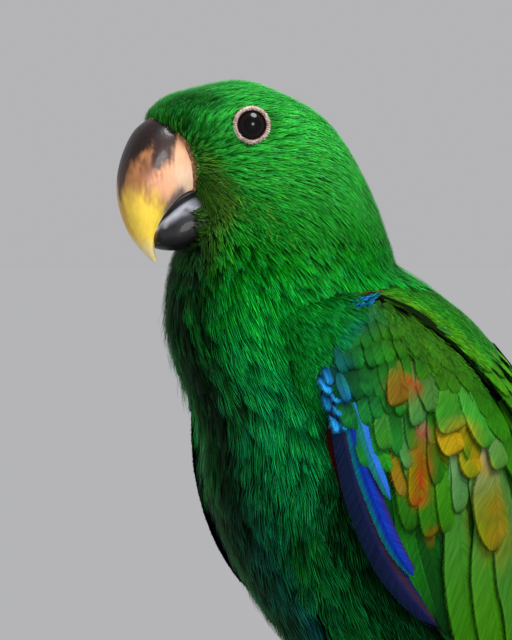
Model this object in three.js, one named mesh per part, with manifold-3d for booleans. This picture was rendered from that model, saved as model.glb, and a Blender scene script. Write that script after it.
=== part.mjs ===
// A male eclectus parrot, life size, gripping a short length of branch on a plain display stand.
// Millimetres, +Z up. The bird faces -Y and its left side is +X. The origin is the centre of the
// underside of the stand's base. Each named mesh is one closed solid that touches nothing else.
import * as THREE from 'three';
import { LoftGeometry } from 'three/addons/geometries/LoftGeometry.js';
import { mergeVertices } from 'three/addons/utils/BufferGeometryUtils.js';
import Module from 'manifold-3d';

const wasm = await Module();
wasm.setup();

// Driving dimensions
const GAP = 0.35; // left between neighbouring solids
const BASE_RADIUS = 78;
const BASE_HEIGHT = 13;
const ROD_RADIUS = 5;
const PERCH_RADIUS = 11.5;
const PERCH_LENGTH = 132;
const PERCH_AXIS = { y: -6, z: 94 }; // the branch lies along X
const HEAD_TURN = THREE.MathUtils.degToRad(-9); // the face looks a little to the bird's right
const HEAD_PIVOT_Y = -34; // vertical axis that the head turns about
const BODY_SIDES = 30;

// Cross sections of head, neck and torso from the crown to the root of the tail. front and back are
// the section's ends in the plane of symmetry as [y, z]; half is its half width across; square is the
// exponent of its rounded outline, where 2 is an ellipse.
const BODY_SECTIONS = [
  { name: 'crown', front: [-54.5, 310.2], back: [-42.0, 310.9], half: 6.0, square: 2.0 },
  { name: 'upper crown', front: [-66.6, 307.4], back: [-34.8, 308.0], half: 11.4, square: 2.0 },
  { name: 'forehead', front: [-71.6, 304.2], back: [-29.0, 305.0], half: 15.4, square: 2.05 },
  { name: 'brow', front: [-73.6, 298.8], back: [-21.2, 299.6], half: 19.0, square: 2.1 },
  { name: 'eyes', front: [-67.0, 290.5], back: [-15.4, 292.5], half: 21.2, square: 2.15 },
  { name: 'cheek', front: [-63.2, 281.5], back: [-10.6, 284.5], half: 22.6, square: 2.2 },
  { name: 'jaw', front: [-61.4, 272.5], back: [-6.6, 276.5], half: 24.4, square: 2.2 },
  { name: 'throat', front: [-64.0, 262.5], back: [-2.8, 266.8], half: 27.8, square: 2.2 },
  { name: 'neck', front: [-66.0, 252.5], back: [0.0, 258.6], half: 31.5, square: 2.2 },
  { name: 'collar', front: [-65.0, 240.0], back: [10.4, 252.8], half: 36.0, square: 2.3 },
  { name: 'shoulder', front: [-58.2, 226.5], back: [20.4, 243.9], half: 39.5, square: 2.35 },
  { name: 'breast', front: [-51.6, 211.5], back: [31.2, 233.2], half: 41.5, square: 2.35 },
  { name: 'keel', front: [-49.4, 195.5], back: [40.2, 221.2], half: 42.5, square: 2.35 },
  { name: 'flank', front: [-43.8, 177.5], back: [48.6, 208.2], half: 42.0, square: 2.3 },
  { name: 'belly', front: [-32.6, 158.5], back: [53.6, 192.2], half: 39.5, square: 2.25 },
  { name: 'loin', front: [-17.6, 141.0], back: [57.0, 175.5], half: 34.0, square: 2.2 },
  { name: 'rump', front: [0.5, 128.0], back: [59.0, 158.5], half: 26.5, square: 2.15 },
  { name: 'vent', front: [19.0, 120.5], back: [61.0, 142.5], half: 19.0, square: 2.1 },
  { name: 'tail root', front: [34.0, 116.0], back: [62.5, 130.5], half: 14.0, square: 2.1 },
];
const HEAD_END = 7.55; // the cut between head and neck, counted in sections
const NECK_END = 9.9; // the cut between neck and torso

// Small helpers

const rad = THREE.MathUtils.degToRad;
const mix = THREE.MathUtils.lerp;
const blend = (x, low, high) => THREE.MathUtils.smoothstep(x, low, high);

// A seeded random number from -1 to 1, so that repeated pieces vary alike on every run.
let seed = 7;
function vary() {
  seed = (seed * 16807) % 2147483647;
  return (seed / 2147483647) * 2 - 1;
}

// Catmull-Rom interpolation of the list at s, counted in entries.
function through(list, s) {
  const last = list.length - 1;
  const i = Math.min(Math.max(Math.floor(s), 0), last - 1);
  const t = s - i;
  const [a, b, c, d] = [i - 1, i, i + 1, i + 2].map((k) => list[Math.min(Math.max(k, 0), last)]);
  const inner = b + 0.5 * t * (c - a + t * (2 * a - 5 * b + 4 * c - d + t * (3 * (b - c) + d - a)));
  return s < 0 || s > last ? mix(b, c, t) : inner;
}

// The closed geometry as a manifold solid, turned to face outwards.
function solid(geometry) {
  const bare = new THREE.BufferGeometry().copy(geometry);
  bare.deleteAttribute('normal');
  bare.deleteAttribute('uv');
  const merged = mergeVertices(bare, 1e-4);
  const index = Array.from(merged.index.array);
  const kept = [];
  for (let i = 0; i < index.length; i += 3) {
    const [a, b, c] = index.slice(i, i + 3);
    if (a !== b && b !== c && c !== a) kept.push(a, b, c);
  }
  const build = (triangles) =>
    new wasm.Manifold(
      new wasm.Mesh({
        numProp: 3,
        vertProperties: merged.attributes.position.array,
        triVerts: new Uint32Array(triangles),
      }),
    );
  const made = build(kept);
  if (made.volume() > 0) return made;
  const flipped = [];
  for (let i = 0; i < kept.length; i += 3) flipped.push(kept[i], kept[i + 2], kept[i + 1]);
  return build(flipped);
}

// Whether a solid stays one closed surface when its corners are rounded to a thousandth of a
// millimetre: each edge is then met once from either side.
function staysClosed(manifold) {
  const { vertProperties, triVerts } = manifold.getMesh();
  const corner = (v) => [0, 1, 2].map((k) => Math.round(vertProperties[3 * v + k] * 1000)).join();
  const edges = new Map();
  for (let i = 0; i < triVerts.length; i += 3) {
    const corners = [0, 1, 2].map((k) => corner(triVerts[i + k]));
    if (new Set(corners).size < 3) return false;
    corners.forEach((c, k) => {
      const edge = `${c} ${corners[(k + 1) % 3]}`;
      edges.set(edge, (edges.get(edge) ?? 0) + 1);
    });
  }
  const opposite = (edge) => edge.split(' ').reverse().join(' ');
  return [...edges].every(([edge, count]) => count === 1 && edges.get(opposite(edge)) === 1);
}

// The largest closed body of a solid, which fills what a union seals and drops loose scraps. Facets
// smaller than the tolerance are merged, a little more of them where two corners would coincide.
function largest(manifold, tolerance = 0.03) {
  let body = manifold;
  for (let attempt = 0; attempt < 12; attempt += 1) {
    const parts = manifold.asOriginal().simplify(tolerance * 1.1 ** attempt).decompose();
    body = parts.reduce((a, b) => (b.volume() > a.volume() ? b : a));
    if (staysClosed(body)) return body;
  }
  return body;
}

const union = (solids) => wasm.Manifold.union(solids);

// The mean of a ring of points.
const middleOf = (ring) => ring.reduce((sum, p) => sum.add(p), new THREE.Vector3()).divideScalar(ring.length);

// Lofts rings of points into a closed geometry, taking the points in the order that faces outwards.
function loft(rings) {
  const [start, next] = [middleOf(rings[0]), middleOf(rings[1])];
  const normal = new THREE.Vector3();
  rings[0].forEach((p, i, ring) => {
    const q = ring[(i + 1) % ring.length];
    normal.add(p.clone().sub(start).cross(q.clone().sub(start)));
  });
  const ordered = normal.dot(next.sub(start)) > 0 ? rings : rings.map((ring) => ring.toReversed());
  return new LoftGeometry(ordered, { capStart: true, capEnd: true });
}

// A rounded limb of varying radius along points, given as [x, y, z, radius].
function limb(points, sides, steps) {
  const curve = new THREE.CatmullRomCurve3(points.map(([x, y, z]) => new THREE.Vector3(x, y, z)));
  const radii = points.map((p) => p[3]);
  const frames = curve.computeFrenetFrames(steps, false);
  const rings = [];
  for (let i = 0; i <= steps; i += 1) {
    const t = curve.getUtoTmapping(i / steps);
    const centre = curve.getPoint(t);
    const radius = through(radii, t * (radii.length - 1));
    const ring = [];
    for (let k = 0; k < sides; k += 1) {
      const angle = (k / sides) * Math.PI * 2;
      ring.push(
        centre
          .clone()
          .addScaledVector(frames.normals[i], Math.cos(angle) * radius)
          .addScaledVector(frames.binormals[i], Math.sin(angle) * radius),
      );
    }
    rings.push(ring);
  }
  return loft(rings);
}

// Body of the bird

// Signed power, which squares off a circle into a rounded outline.
const squared = (value, exponent) => Math.sign(value) * Math.abs(value) ** (2 / exponent);

// Turns a point of the head about the neck's vertical axis; share is 1 on the head and 0 below the neck.
function turned(point, share) {
  const angle = HEAD_TURN * share;
  const [x, y] = [point.x, point.y - HEAD_PIVOT_Y];
  point.x = x * Math.cos(angle) - y * Math.sin(angle);
  point.y = HEAD_PIVOT_Y + x * Math.sin(angle) + y * Math.cos(angle);
  return point;
}

// A row of sections as separate lists of numbers, ready to interpolate.
function columns(sections) {
  return {
    frontY: sections.map((s) => s.front[0]),
    frontZ: sections.map((s) => s.front[1]),
    backY: sections.map((s) => s.back[0]),
    backZ: sections.map((s) => s.back[1]),
    half: sections.map((s) => s.half),
    square: sections.map((s) => s.square),
  };
}

// The point at s along the sections and phi round them: 0 is the breast, a quarter turn is the bird's
// left side and a half turn is the back. outset grows the section on all sides.
function sectionPoint(form, s, phi, outset) {
  const front = new THREE.Vector3(0, through(form.frontY, s), through(form.frontZ, s));
  const back = new THREE.Vector3(0, through(form.backY, s), through(form.backZ, s));
  const depth = front.distanceTo(back) / 2;
  const out = back.clone().sub(front).normalize();
  const square = through(form.square, s);
  const centre = front.add(back).multiplyScalar(0.5);
  const point = centre.addScaledVector(out, -squared(Math.cos(phi), square) * (depth + outset));
  point.x = squared(Math.sin(phi), square) * (through(form.half, s) + outset);
  return point;
}

const BODY = columns(BODY_SECTIONS);

function bodyPoint(s, phi, outset = 0) {
  return turned(sectionPoint(BODY, s, phi, outset), 1 - blend(s, 6.0, 9.5));
}

// The body between two places along it, closed at both ends. Where it is the crown it ends in a cap.
function bodySolid(from, to, outset = 0, perSection = 1.7) {
  const steps = Math.round((to - from) * perSection);
  const rings = [];
  for (let i = 0; i <= steps; i += 1) {
    const s = mix(from, to, i / steps);
    const ring = [];
    for (let k = 0; k < BODY_SIDES; k += 1) {
      ring.push(bodyPoint(s, (k / BODY_SIDES) * Math.PI * 2, outset));
    }
    rings.push(ring);
  }
  return solid(loft(rings));
}

const LAST_SECTION = BODY_SECTIONS.length - 1;

// A frame fixed to the head: forward and left in millimetres from the neck's axis, z as in the model.
function inHead(forward, left, z) {
  return turned(new THREE.Vector3(left, HEAD_PIVOT_Y - forward, z), 1);
}

// Beak

// Sections of the upper beak from its root in the face to its tip: the culmen's ridge and the line
// between the cutting edges as [forward, z], and the half width across.
const UPPER_BEAK = [
  { ridge: [29.5, 297.5], edge: [24.0, 283.5], half: 8.2 },
  { ridge: [37.0, 300.3], edge: [28.0, 280.8], half: 9.6 },
  { ridge: [42.4, 297.9], edge: [31.2, 279.6], half: 9.6 },
  { ridge: [46.2, 292.0], edge: [34.0, 277.6], half: 9.0 },
  { ridge: [48.4, 284.6], edge: [36.4, 274.8], half: 8.0 },
  { ridge: [48.3, 276.9], edge: [38.5, 271.4], half: 6.6 },
  { ridge: [45.8, 269.2], edge: [39.3, 267.8], half: 4.8 },
  { ridge: [42.0, 263.8], edge: [39.0, 263.8], half: 2.8 },
  { ridge: [38.5, 260.3], edge: [37.5, 260.8], half: 0.9 },
];

// Sections of the lower beak: how far forward, its top and bottom, and its half width.
const LOWER_BEAK = [
  { forward: 20.0, top: 277.0, bottom: 267.0, half: 8.6 },
  { forward: 27.0, top: 278.4, bottom: 264.6, half: 8.8 },
  { forward: 32.0, top: 276.6, bottom: 263.4, half: 8.2 },
  { forward: 36.0, top: 273.4, bottom: 263.6, half: 7.0 },
  { forward: 39.0, top: 270.6, bottom: 264.8, half: 5.4 },
  { forward: 40.2, top: 269.2, bottom: 266.4, half: 3.6 },
];

// A ring in the plane through two points of the head's middle, outset all round.
function beakRing(upper, lower, half, outset, sides, fullness) {
  const top = new THREE.Vector2(...upper);
  const low = new THREE.Vector2(...lower);
  const centre = top.clone().add(low).multiplyScalar(0.5);
  const across = top.clone().sub(low);
  const reach = across.length() / 2 + outset;
  across.normalize();
  const ring = [];
  for (let k = 0; k < sides; k += 1) {
    const angle = (k / sides) * Math.PI * 2;
    const up = squared(Math.cos(angle), fullness) * reach;
    const side = squared(Math.sin(angle), fullness) * (half + outset) * (1 - 0.12 * Math.cos(angle));
    ring.push(inHead(centre.x + across.x * up, side, centre.y + across.y * up));
  }
  return ring;
}

function upperBeak(outset = 0, steps = 16) {
  const last = UPPER_BEAK.length - 1;
  const pick = (read, s) => through(UPPER_BEAK.map(read), s);
  const rings = [];
  for (let i = 0; i <= steps; i += 1) {
    const s = (i / steps) * last;
    rings.push(
      beakRing(
        [pick((b) => b.ridge[0], s), pick((b) => b.ridge[1], s)],
        [pick((b) => b.edge[0], s), pick((b) => b.edge[1], s)],
        pick((b) => b.half, s),
        outset,
        20,
        2.2,
      ),
    );
  }
  return solid(loft(rings));
}

function lowerBeak(outset = 0) {
  const rings = LOWER_BEAK.map((b) =>
    beakRing([b.forward, b.top], [b.forward, b.bottom], b.half, outset, 16, 2.5),
  );
  return solid(loft(rings));
}

// The bare saddle at the beak's root, with a nostril on each side.
const CERE = { outset: 0.8, from: 0.5, to: 1.12, nostril: { forward: 36.2, left: 4.8, z: 300.6, radius: 1.25 } };

function cereSolid(outset = 0) {
  const pick = (read, s) => through(UPPER_BEAK.map(read), s);
  const rings = [];
  const steps = 4;
  for (let i = 0; i <= steps; i += 1) {
    const s = mix(CERE.from, CERE.to, i / steps);
    rings.push(
      beakRing(
        [pick((b) => b.ridge[0], s), pick((b) => b.ridge[1], s)],
        [pick((b) => b.edge[0], s), pick((b) => b.edge[1], s)],
        pick((b) => b.half, s),
        CERE.outset + outset,
        20,
        2.2,
      ),
    );
  }
  return solid(loft(rings));
}

// Eyes

const EYE = { forward: 16.6, left: 15.6, z: 298.0, radius: 5.4, yaw: rad(15), ring: 4.55, lid: 0.78 };

// Places a geometry, made round +Z at the origin, at the eye on one side: +1 is left.
function atEye(geometry, side, along) {
  const yaw = EYE.yaw;
  const axis = inHead(Math.sin(yaw), Math.cos(yaw) * side, 0).sub(inHead(0, 0, 0));
  const centre = inHead(EYE.forward, EYE.left * side, EYE.z).addScaledVector(axis, along);
  const turn = new THREE.Quaternion().setFromUnitVectors(new THREE.Vector3(0, 0, 1), axis.normalize());
  return geometry.applyQuaternion(turn).translate(centre.x, centre.y, centre.z);
}

function eyeball(side, outset = 0) {
  return solid(atEye(new THREE.SphereGeometry(EYE.radius + outset, 14, 10), side, 0));
}

function eyeRing(side, outset = 0) {
  const ring = new THREE.TorusGeometry(EYE.ring, EYE.lid + outset, 6, 20);
  return solid(atEye(ring, side, EYE.radius * 0.72));
}

// Wings

// The form that a folded wing lies on, from the shoulder to the tips of the longest feathers.
const WING_SECTIONS = [
  { front: [-62.5, 246.0], back: [2.0, 259.5], half: 34.0, square: 2.3 },
  { front: [-61.0, 230.0], back: [14.0, 248.4], half: 40.0, square: 2.4 },
  { front: [-56.5, 213.0], back: [25.6, 235.8], half: 43.2, square: 2.4 },
  { front: [-51.5, 194.0], back: [36.8, 222.8], half: 44.6, square: 2.4 },
  { front: [-42.5, 173.5], back: [47.5, 209.5], half: 44.6, square: 2.4 },
  { front: [-29.0, 152.0], back: [55.0, 191.5], half: 42.5, square: 2.35 },
  { front: [-10.0, 133.0], back: [61.5, 171.0], half: 38.0, square: 2.3 },
  { front: [14.0, 117.0], back: [69.5, 149.0], half: 31.0, square: 2.2 },
  { front: [40.0, 101.0], back: [78.5, 126.0], half: 24.0, square: 2.1 },
  { front: [63.0, 82.0], back: [88.5, 101.5], half: 18.0, square: 2.0 },
  { front: [80.0, 61.0], back: [98.5, 76.0], half: 14.5, square: 2.0 },
  { front: [93.0, 39.0], back: [107.0, 50.0], half: 11.5, square: 2.0 },
];
const WING_FORM = columns(WING_SECTIONS);
const WING_STEP = 23; // millimetres along the wing between two of those sections

// The right wing is held a little differently: its front edge lies this many degrees further back
// than the left one's at the shoulder, and fewer than none at the end of the forearm.
const LEFT_HOLD = { shoulder: 0, forearm: 0 };
const RIGHT_HOLD = { shoulder: 12, forearm: -4 };

// A point of a wing drawn on the bird's left: t in millimetres from the shoulder and phi in degrees
// from the breast line, moved by how the wing is held.
function wingPoint(t, phi, outset, hold = LEFT_HOLD) {
  const shift = mix(hold.shoulder, hold.forearm, blend(t, 30, 95)) * (1 - blend(t, 120, 200));
  const moved = phi + shift * (1 - blend(phi, 60, 120));
  return sectionPoint(WING_FORM, t / WING_STEP, rad(moved), outset);
}

// The fleshy wing under its feathers: a bent plate whose edges follow these lines.
const WING_CORE = {
  t: [2, 12, 24, 42, 62, 85, 108, 130, 148],
  lead: [76, 69, 59, 55, 54, 53, 57, 66, 84],
  trail: [114, 128, 142, 152, 160, 165, 168, 166, 150],
  thick: [0.9, 1.5, 1.9, 2.0, 2.0, 1.9, 1.7, 1.4, 0.9],
  outset: [2.4, 2.4, 2.2, 1.9, 1.7, 1.6, 1.6, 1.6, 1.6],
};

function wingCore(hold) {
  const { t, lead, trail, thick, outset } = WING_CORE;
  const rings = [];
  const [steps, sides] = [11, 14];
  for (let i = 0; i <= steps; i += 1) {
    const s = (i / steps) * (t.length - 1);
    const middle = (through(lead, s) + through(trail, s)) / 2;
    const spread = (through(trail, s) - through(lead, s)) / 2;
    const ring = [];
    for (let k = 0; k < sides; k += 1) {
      const angle = (k / sides) * Math.PI * 2;
      const height = through(outset, s) + through(thick, s) * squared(Math.sin(angle), 2.6);
      ring.push(wingPoint(through(t, s), middle + spread * Math.cos(angle), height, hold));
    }
    rings.push(ring);
  }
  return solid(loft(rings));
}

// One vane on a surface given by place(along, across, side, height), from its root to its tip. half is
// its greatest half width and blunt is how far along it begins to round off to its tip.
function vane(place, { from, to, half, thick, rise, steps = 4, blunt = 0.5 }) {
  const rings = [];
  for (let i = 0; i <= steps; i += 1) {
    const u = i / steps;
    const spread = Math.min(1, 0.55 + 1.1 * u);
    const rounding = Math.sqrt(1 - 0.96 * Math.max(0, (u - blunt) / (1 - blunt)) ** 2);
    const width = half * spread * rounding;
    const along = mix(from[0], to[0], u);
    const across = mix(from[1], to[1], u);
    const high = mix(rise[0], rise[1], u);
    const edge = thick * 0.28;
    rings.push([
      place(along, across, -width, high - edge),
      place(along, across, width, high - edge),
      place(along, across, width, high + edge),
      place(along, across, 0, high + thick * 0.6),
      place(along, across, -width, high + edge),
    ]);
  }
  return solid(loft(rings));
}

// Places a point of a wing feather: t and phi of its shaft, then its distance from the shaft in
// millimetres across, and its height over the form.
function onWing(t, phi, side, height, hold) {
  const degreesPerMm = 2 / wingPoint(t, phi + 2, height).distanceTo(wingPoint(t, phi, height));
  return wingPoint(t, phi + side * degreesPerMm, height, hold);
}

// The tiers of a folded wing, lowest first. root and tip give [t, phi] of the first and the last
// feather of the tier, which are spread evenly between them; reach adds to t along a curve.
const WING_TIERS = [
  {
    name: 'primaries',
    count: 6,
    root: [[62, 58], [66, 82]],
    tip: [[214, 92], [206, 128]],
    reach: 36,
    half: [7.0, 8.0],
    rise: [[0.8, 0.4], [2.6, 3.2]],
    thick: 1.1,
    steps: 6,
  },
  {
    name: 'secondaries',
    count: 7,
    root: [[72, 86], [60, 154]],
    tip: [[186, 104], [168, 166]],
    reach: 4,
    half: [8.5, 9.5],
    rise: [[2.4, 3.2], [2.8, 4.0]],
    thick: 1.1,
    steps: 5,
  },
  {
    name: 'primary coverts',
    count: 3,
    root: [[36, 59], [42, 68]],
    tip: [[106, 57], [94, 74]],
    reach: 0,
    half: [4.2, 4.6],
    rise: [[2.0, 1.8], [2.8, 3.4]],
    thick: 1.1,
    steps: 4,
  },
  {
    name: 'greater coverts',
    count: 7,
    root: [[58, 72], [52, 150]],
    tip: [[114, 80], [106, 162]],
    reach: 3,
    half: [6.6, 7.6],
    rise: [[2.6, 3.8], [2.6, 4.8]],
    thick: 1.2,
    steps: 3,
  },
  {
    name: 'alula',
    count: 2,
    root: [[28, 59], [30, 65]],
    tip: [[66, 57], [58, 66]],
    reach: 0,
    half: [3.2, 3.4],
    rise: [[2.2, 3.2], [2.6, 4.0]],
    thick: 1.1,
    steps: 3,
  },
  {
    name: 'median coverts',
    count: 8,
    root: [[42, 68], [38, 142]],
    tip: [[78, 72], [74, 150]],
    reach: 2,
    half: [5.4, 6.2],
    rise: [[2.4, 4.4], [2.4, 4.8]],
    thick: 1.2,
    steps: 3,
  },
  {
    name: 'lower lesser coverts',
    count: 7,
    root: [[26, 70], [24, 134]],
    tip: [[54, 69], [50, 140]],
    reach: 2,
    half: [5.0, 5.4],
    rise: [[2.0, 3.8], [1.6, 3.4]],
    thick: 1.2,
    steps: 3,
  },
  {
    name: 'upper lesser coverts',
    count: 5,
    root: [[10, 78], [12, 124]],
    tip: [[36, 70], [32, 130]],
    reach: 2,
    half: [5.0, 5.4],
    rise: [[1.2, 3.4], [0.8, 2.6]],
    thick: 1.2,
    steps: 3,
  },
  {
    name: 'scapulars',
    count: 5,
    root: [[12, 134], [22, 156]],
    tip: [[92, 144], [112, 168]],
    reach: 6,
    half: [6.0, 6.6],
    rise: [[1.0, 3.8], [0.8, 2.6]],
    thick: 1.2,
    steps: 4,
  },
];

function tierVanes(tier, hold) {
  const vanes = [];
  for (let i = 0; i < tier.count; i += 1) {
    const k = tier.count > 1 ? i / (tier.count - 1) : 0;
    const arch = tier.reach * Math.sin(Math.PI * Math.min(1, k * 0.9 + 0.1));
    const pair = (ends, j) => mix(ends[0][j], ends[1][j], k);
    const length = 1 + 0.012 * vary();
    vanes.push(
      vane((t, phi, side, height) => onWing(t, phi, side, height, hold), {
        from: [pair(tier.root, 0), pair(tier.root, 1)],
        to: [pair(tier.tip, 0) * length + arch, pair(tier.tip, 1)],
        half: mix(tier.half[0], tier.half[1], k),
        rise: [mix(tier.rise[0][0], tier.rise[1][0], k), mix(tier.rise[0][1], tier.rise[1][1], k)],
        thick: tier.thick,
        steps: tier.steps,
      }),
    );
  }
  return vanes;
}

// A wing drawn on the bird's left, kept clear of the plane of symmetry.
function wingSolid(hold) {
  seed = 11;
  const pieces = [wingCore(hold), ...WING_TIERS.flatMap((tier) => tierVanes(tier, hold))];
  return union(pieces).trimByPlane([1, 0, 0], GAP);
}

// Tail

const TAIL = { root: [0, 50, 126], pitch: rad(61), length: 118, fan: 20, half: 8.5, pairs: 5, thick: 1.1 };

// A point of the tail: along it from its root, across it to the bird's left, and height over it.
function tailPoint(along, across, height) {
  const [x, y, z] = TAIL.root;
  const droop = -0.0016 * across * across;
  const up = height + droop;
  return new THREE.Vector3(
    x + across,
    y + along * Math.cos(TAIL.pitch) + up * Math.sin(TAIL.pitch),
    z - along * Math.sin(TAIL.pitch) + up * Math.cos(TAIL.pitch),
  );
}

function onTail(along, across, side, height) {
  return tailPoint(along, across + side, height);
}

function tailSolid() {
  const vanes = [];
  for (let i = -TAIL.pairs; i <= TAIL.pairs; i += 1) {
    const k = i / TAIL.pairs;
    const low = -Math.abs(k) * 3.6;
    vanes.push(
      vane(onTail, {
        from: [-2, k * 5.5],
        to: [TAIL.length - Math.abs(k) * 7 + vary(), k * TAIL.fan],
        half: TAIL.half,
        rise: [low, low],
        thick: TAIL.thick,
        steps: 6,
        blunt: 0.82,
      }),
    );
  }
  const covert = (k, length, level, lift) =>
    vane(onTail, {
      from: [-1, k * 7],
      to: [length - Math.abs(k) * 8, k * 11],
      half: 6.5,
      rise: [level, level + lift],
      thick: 1.3,
      steps: 4,
    });
  for (const k of [-1, 1, -0.5, 0.5, 0]) {
    vanes.push(covert(k, 40, 2.4 - Math.abs(k), -0.6));
    vanes.push(covert(k, 58, -7.2 + Math.abs(k), 2.2));
  }
  const stub = [];
  for (let i = 0; i <= 6; i += 1) {
    const along = mix(-9, 30, i / 6);
    const size = Math.sqrt(Math.max(0.02, 1 - ((i - 1) / 5.2) ** 2));
    const ring = [];
    for (let n = 0; n < 20; n += 1) {
      const angle = (n / 20) * Math.PI * 2;
      ring.push(tailPoint(along, Math.cos(angle) * 14 * size, -2.4 + Math.sin(angle) * 6.5 * size));
    }
    stub.push(ring);
  }
  return union([solid(loft(stub)), ...vanes]);
}

// The space that the tail takes up, a little larger than itself, for the wing tips to keep clear of.
function tailRoom() {
  const rings = [];
  for (const along of [-8, 20, 60, 100, 122]) {
    const ring = [];
    const wide = mix(17, 31, blend(along, 0, 120)) + 1;
    const top = mix(5.2, 1.2, blend(along, 20, 60)) + GAP;
    for (let n = 0; n < 20; n += 1) {
      const angle = (n / 20) * Math.PI * 2;
      const across = squared(Math.cos(angle), 3) * wide;
      const up = Math.sin(angle) > 0 ? top : -10;
      ring.push(tailPoint(along, across, squared(Math.abs(Math.sin(angle)), 3) * up));
    }
    rings.push(ring);
  }
  return solid(loft(rings));
}

// Legs and feet

const LEG = { x: 18, hip: [-2, 152], ankle: [0.5, 121], foot: [-6, 110.5] };
const TOE_RADIUS = 2.9;

function thighSolid(side, outset = 0) {
  const [hy, hz] = LEG.hip;
  const [ay, az] = LEG.ankle;
  const points = [
    [side * (LEG.x + 2), hy, hz, 13 + outset],
    [side * (LEG.x + 1.5), mix(hy, ay, 0.45), mix(hz, az, 0.45), 12.5 + outset],
    [side * (LEG.x + 0.5), mix(hy, ay, 0.8), mix(hz, az, 0.8), 8.5 + outset],
    [side * LEG.x, ay, az, 5.2 + outset],
    [side * LEG.x, ay - 1.2, az - 3, 4.2 + outset],
  ];
  return solid(limb(points, 14, 9));
}

// The four toes of a parrot's foot: two forward and two back. turn is how far each one wraps round
// the branch in degrees, positive forwards, and drift is how far it strays outwards on the way.
const TOES = [
  { name: 'outer_front', turn: 104, drift: 6.5, start: 2.4 },
  { name: 'inner_front', turn: 76, drift: -6.5, start: -2.4 },
  { name: 'outer_back', turn: -92, drift: 7.0, start: 2.0 },
  { name: 'inner_back', turn: -60, drift: -5.5, start: -2.0 },
];

// A point over the branch: x along it, angle from its top in degrees towards the front.
function overPerch(x, angle, height) {
  const reach = PERCH_RADIUS + height;
  return new THREE.Vector3(
    x,
    PERCH_AXIS.y - Math.sin(rad(angle)) * reach,
    PERCH_AXIS.z + Math.cos(rad(angle)) * reach,
  );
}

function toeSolid(side, toe) {
  const points = [];
  const count = 6;
  for (let i = 0; i <= count; i += 1) {
    const k = i / count;
    const radius = TOE_RADIUS * (1 - 0.3 * k) * (1 + 0.1 * Math.sin(k * Math.PI * 5));
    const p = overPerch(side * (LEG.x + toe.start + toe.drift * k), toe.turn * k, GAP + TOE_RADIUS + 0.3);
    points.push([p.x, p.y, p.z, radius]);
  }
  return solid(limb(points, 8, 10));
}

function clawSolid(side, toe) {
  const way = Math.sign(toe.turn);
  const x = side * (LEG.x + toe.start + toe.drift);
  const arc = [
    { beyond: 3.0, height: TOE_RADIUS + 1.1, radius: 1.75 },
    { beyond: 16, height: TOE_RADIUS + 1.9, radius: 1.45 },
    { beyond: 30, height: TOE_RADIUS + 0.6, radius: 0.95 },
    { beyond: 41, height: 1.4, radius: 0.35 },
  ];
  const points = arc.map((a) => {
    const p = overPerch(x + side * Math.sign(toe.drift) * a.beyond * 0.02, toe.turn + way * a.beyond, a.height);
    return [p.x, p.y, p.z, a.radius];
  });
  return solid(limb(points, 8, 7));
}

function footSolid(side) {
  const [ay, az] = LEG.ankle;
  const [fy, fz] = LEG.foot;
  const shank = limb(
    [
      [side * LEG.x, ay + 0.3, az + 3, 2.9],
      [side * LEG.x, ay - 1.5, az - 4, 3.1],
      [side * LEG.x, mix(ay, fy, 0.75), mix(az, fz, 0.7), 3.4],
      [side * LEG.x, fy, fz, 3.9],
    ],
    10,
    6,
  );
  return union([solid(shank), ...TOES.map((toe) => toeSolid(side, toe))]);
}

// Branch and stand

function perchSolid() {
  const rings = [];
  const [steps, sides] = [14, 18];
  for (let i = 0; i <= steps; i += 1) {
    const x = mix(-PERCH_LENGTH / 2, PERCH_LENGTH / 2, i / steps);
    const free = blend(Math.abs(x), 36, 52);
    const ring = [];
    for (let k = 0; k < sides; k += 1) {
      const angle = (k / sides) * Math.PI * 2;
      const wave = 0.5 * Math.sin(3 * angle + x * 0.09) + 0.35 * Math.sin(x * 0.21 + angle);
      const radius = PERCH_RADIUS - 0.25 + free * (wave - x * 0.012);
      ring.push(
        new THREE.Vector3(x, PERCH_AXIS.y + Math.cos(angle) * radius, PERCH_AXIS.z + Math.sin(angle) * radius),
      );
    }
    rings.push(ring);
  }
  return solid(loft(rings));
}

function baseSolid() {
  const edge = 3;
  const outline = [new THREE.Vector2(0, 0), new THREE.Vector2(BASE_RADIUS - 1, 0)];
  outline.push(new THREE.Vector2(BASE_RADIUS, 1));
  for (let i = 0; i <= 4; i += 1) {
    const angle = (i / 4) * (Math.PI / 2);
    outline.push(
      new THREE.Vector2(BASE_RADIUS - edge + edge * Math.cos(angle), BASE_HEIGHT - edge + edge * Math.sin(angle)),
    );
  }
  outline.push(new THREE.Vector2(0, BASE_HEIGHT));
  return solid(new THREE.LatheGeometry(outline, 40).rotateX(Math.PI / 2));
}

function rodSolid() {
  const top = PERCH_AXIS.z - PERCH_RADIUS + 4;
  const low = BASE_HEIGHT + GAP;
  const rod = new THREE.CylinderGeometry(ROD_RADIUS, ROD_RADIUS, top - low, 24).rotateX(Math.PI / 2);
  return solid(rod.translate(0, PERCH_AXIS.y, (top + low) / 2));
}

// Assembly

const part = new THREE.Group();

// Adds a solid as a named mesh with its own colour.
function add(name, manifold, color, roughness = 0.8, metalness = 0) {
  const mesh = manifold.getMesh();
  const geometry = new THREE.BufferGeometry();
  geometry.setAttribute('position', new THREE.BufferAttribute(new Float32Array(mesh.vertProperties), 3));
  geometry.setIndex(new THREE.BufferAttribute(new Uint32Array(mesh.triVerts), 1));
  const material = new THREE.MeshStandardMaterial({ color, roughness, metalness });
  const made = new THREE.Mesh(geometry, material);
  made.name = name;
  part.add(made);
}

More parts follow.
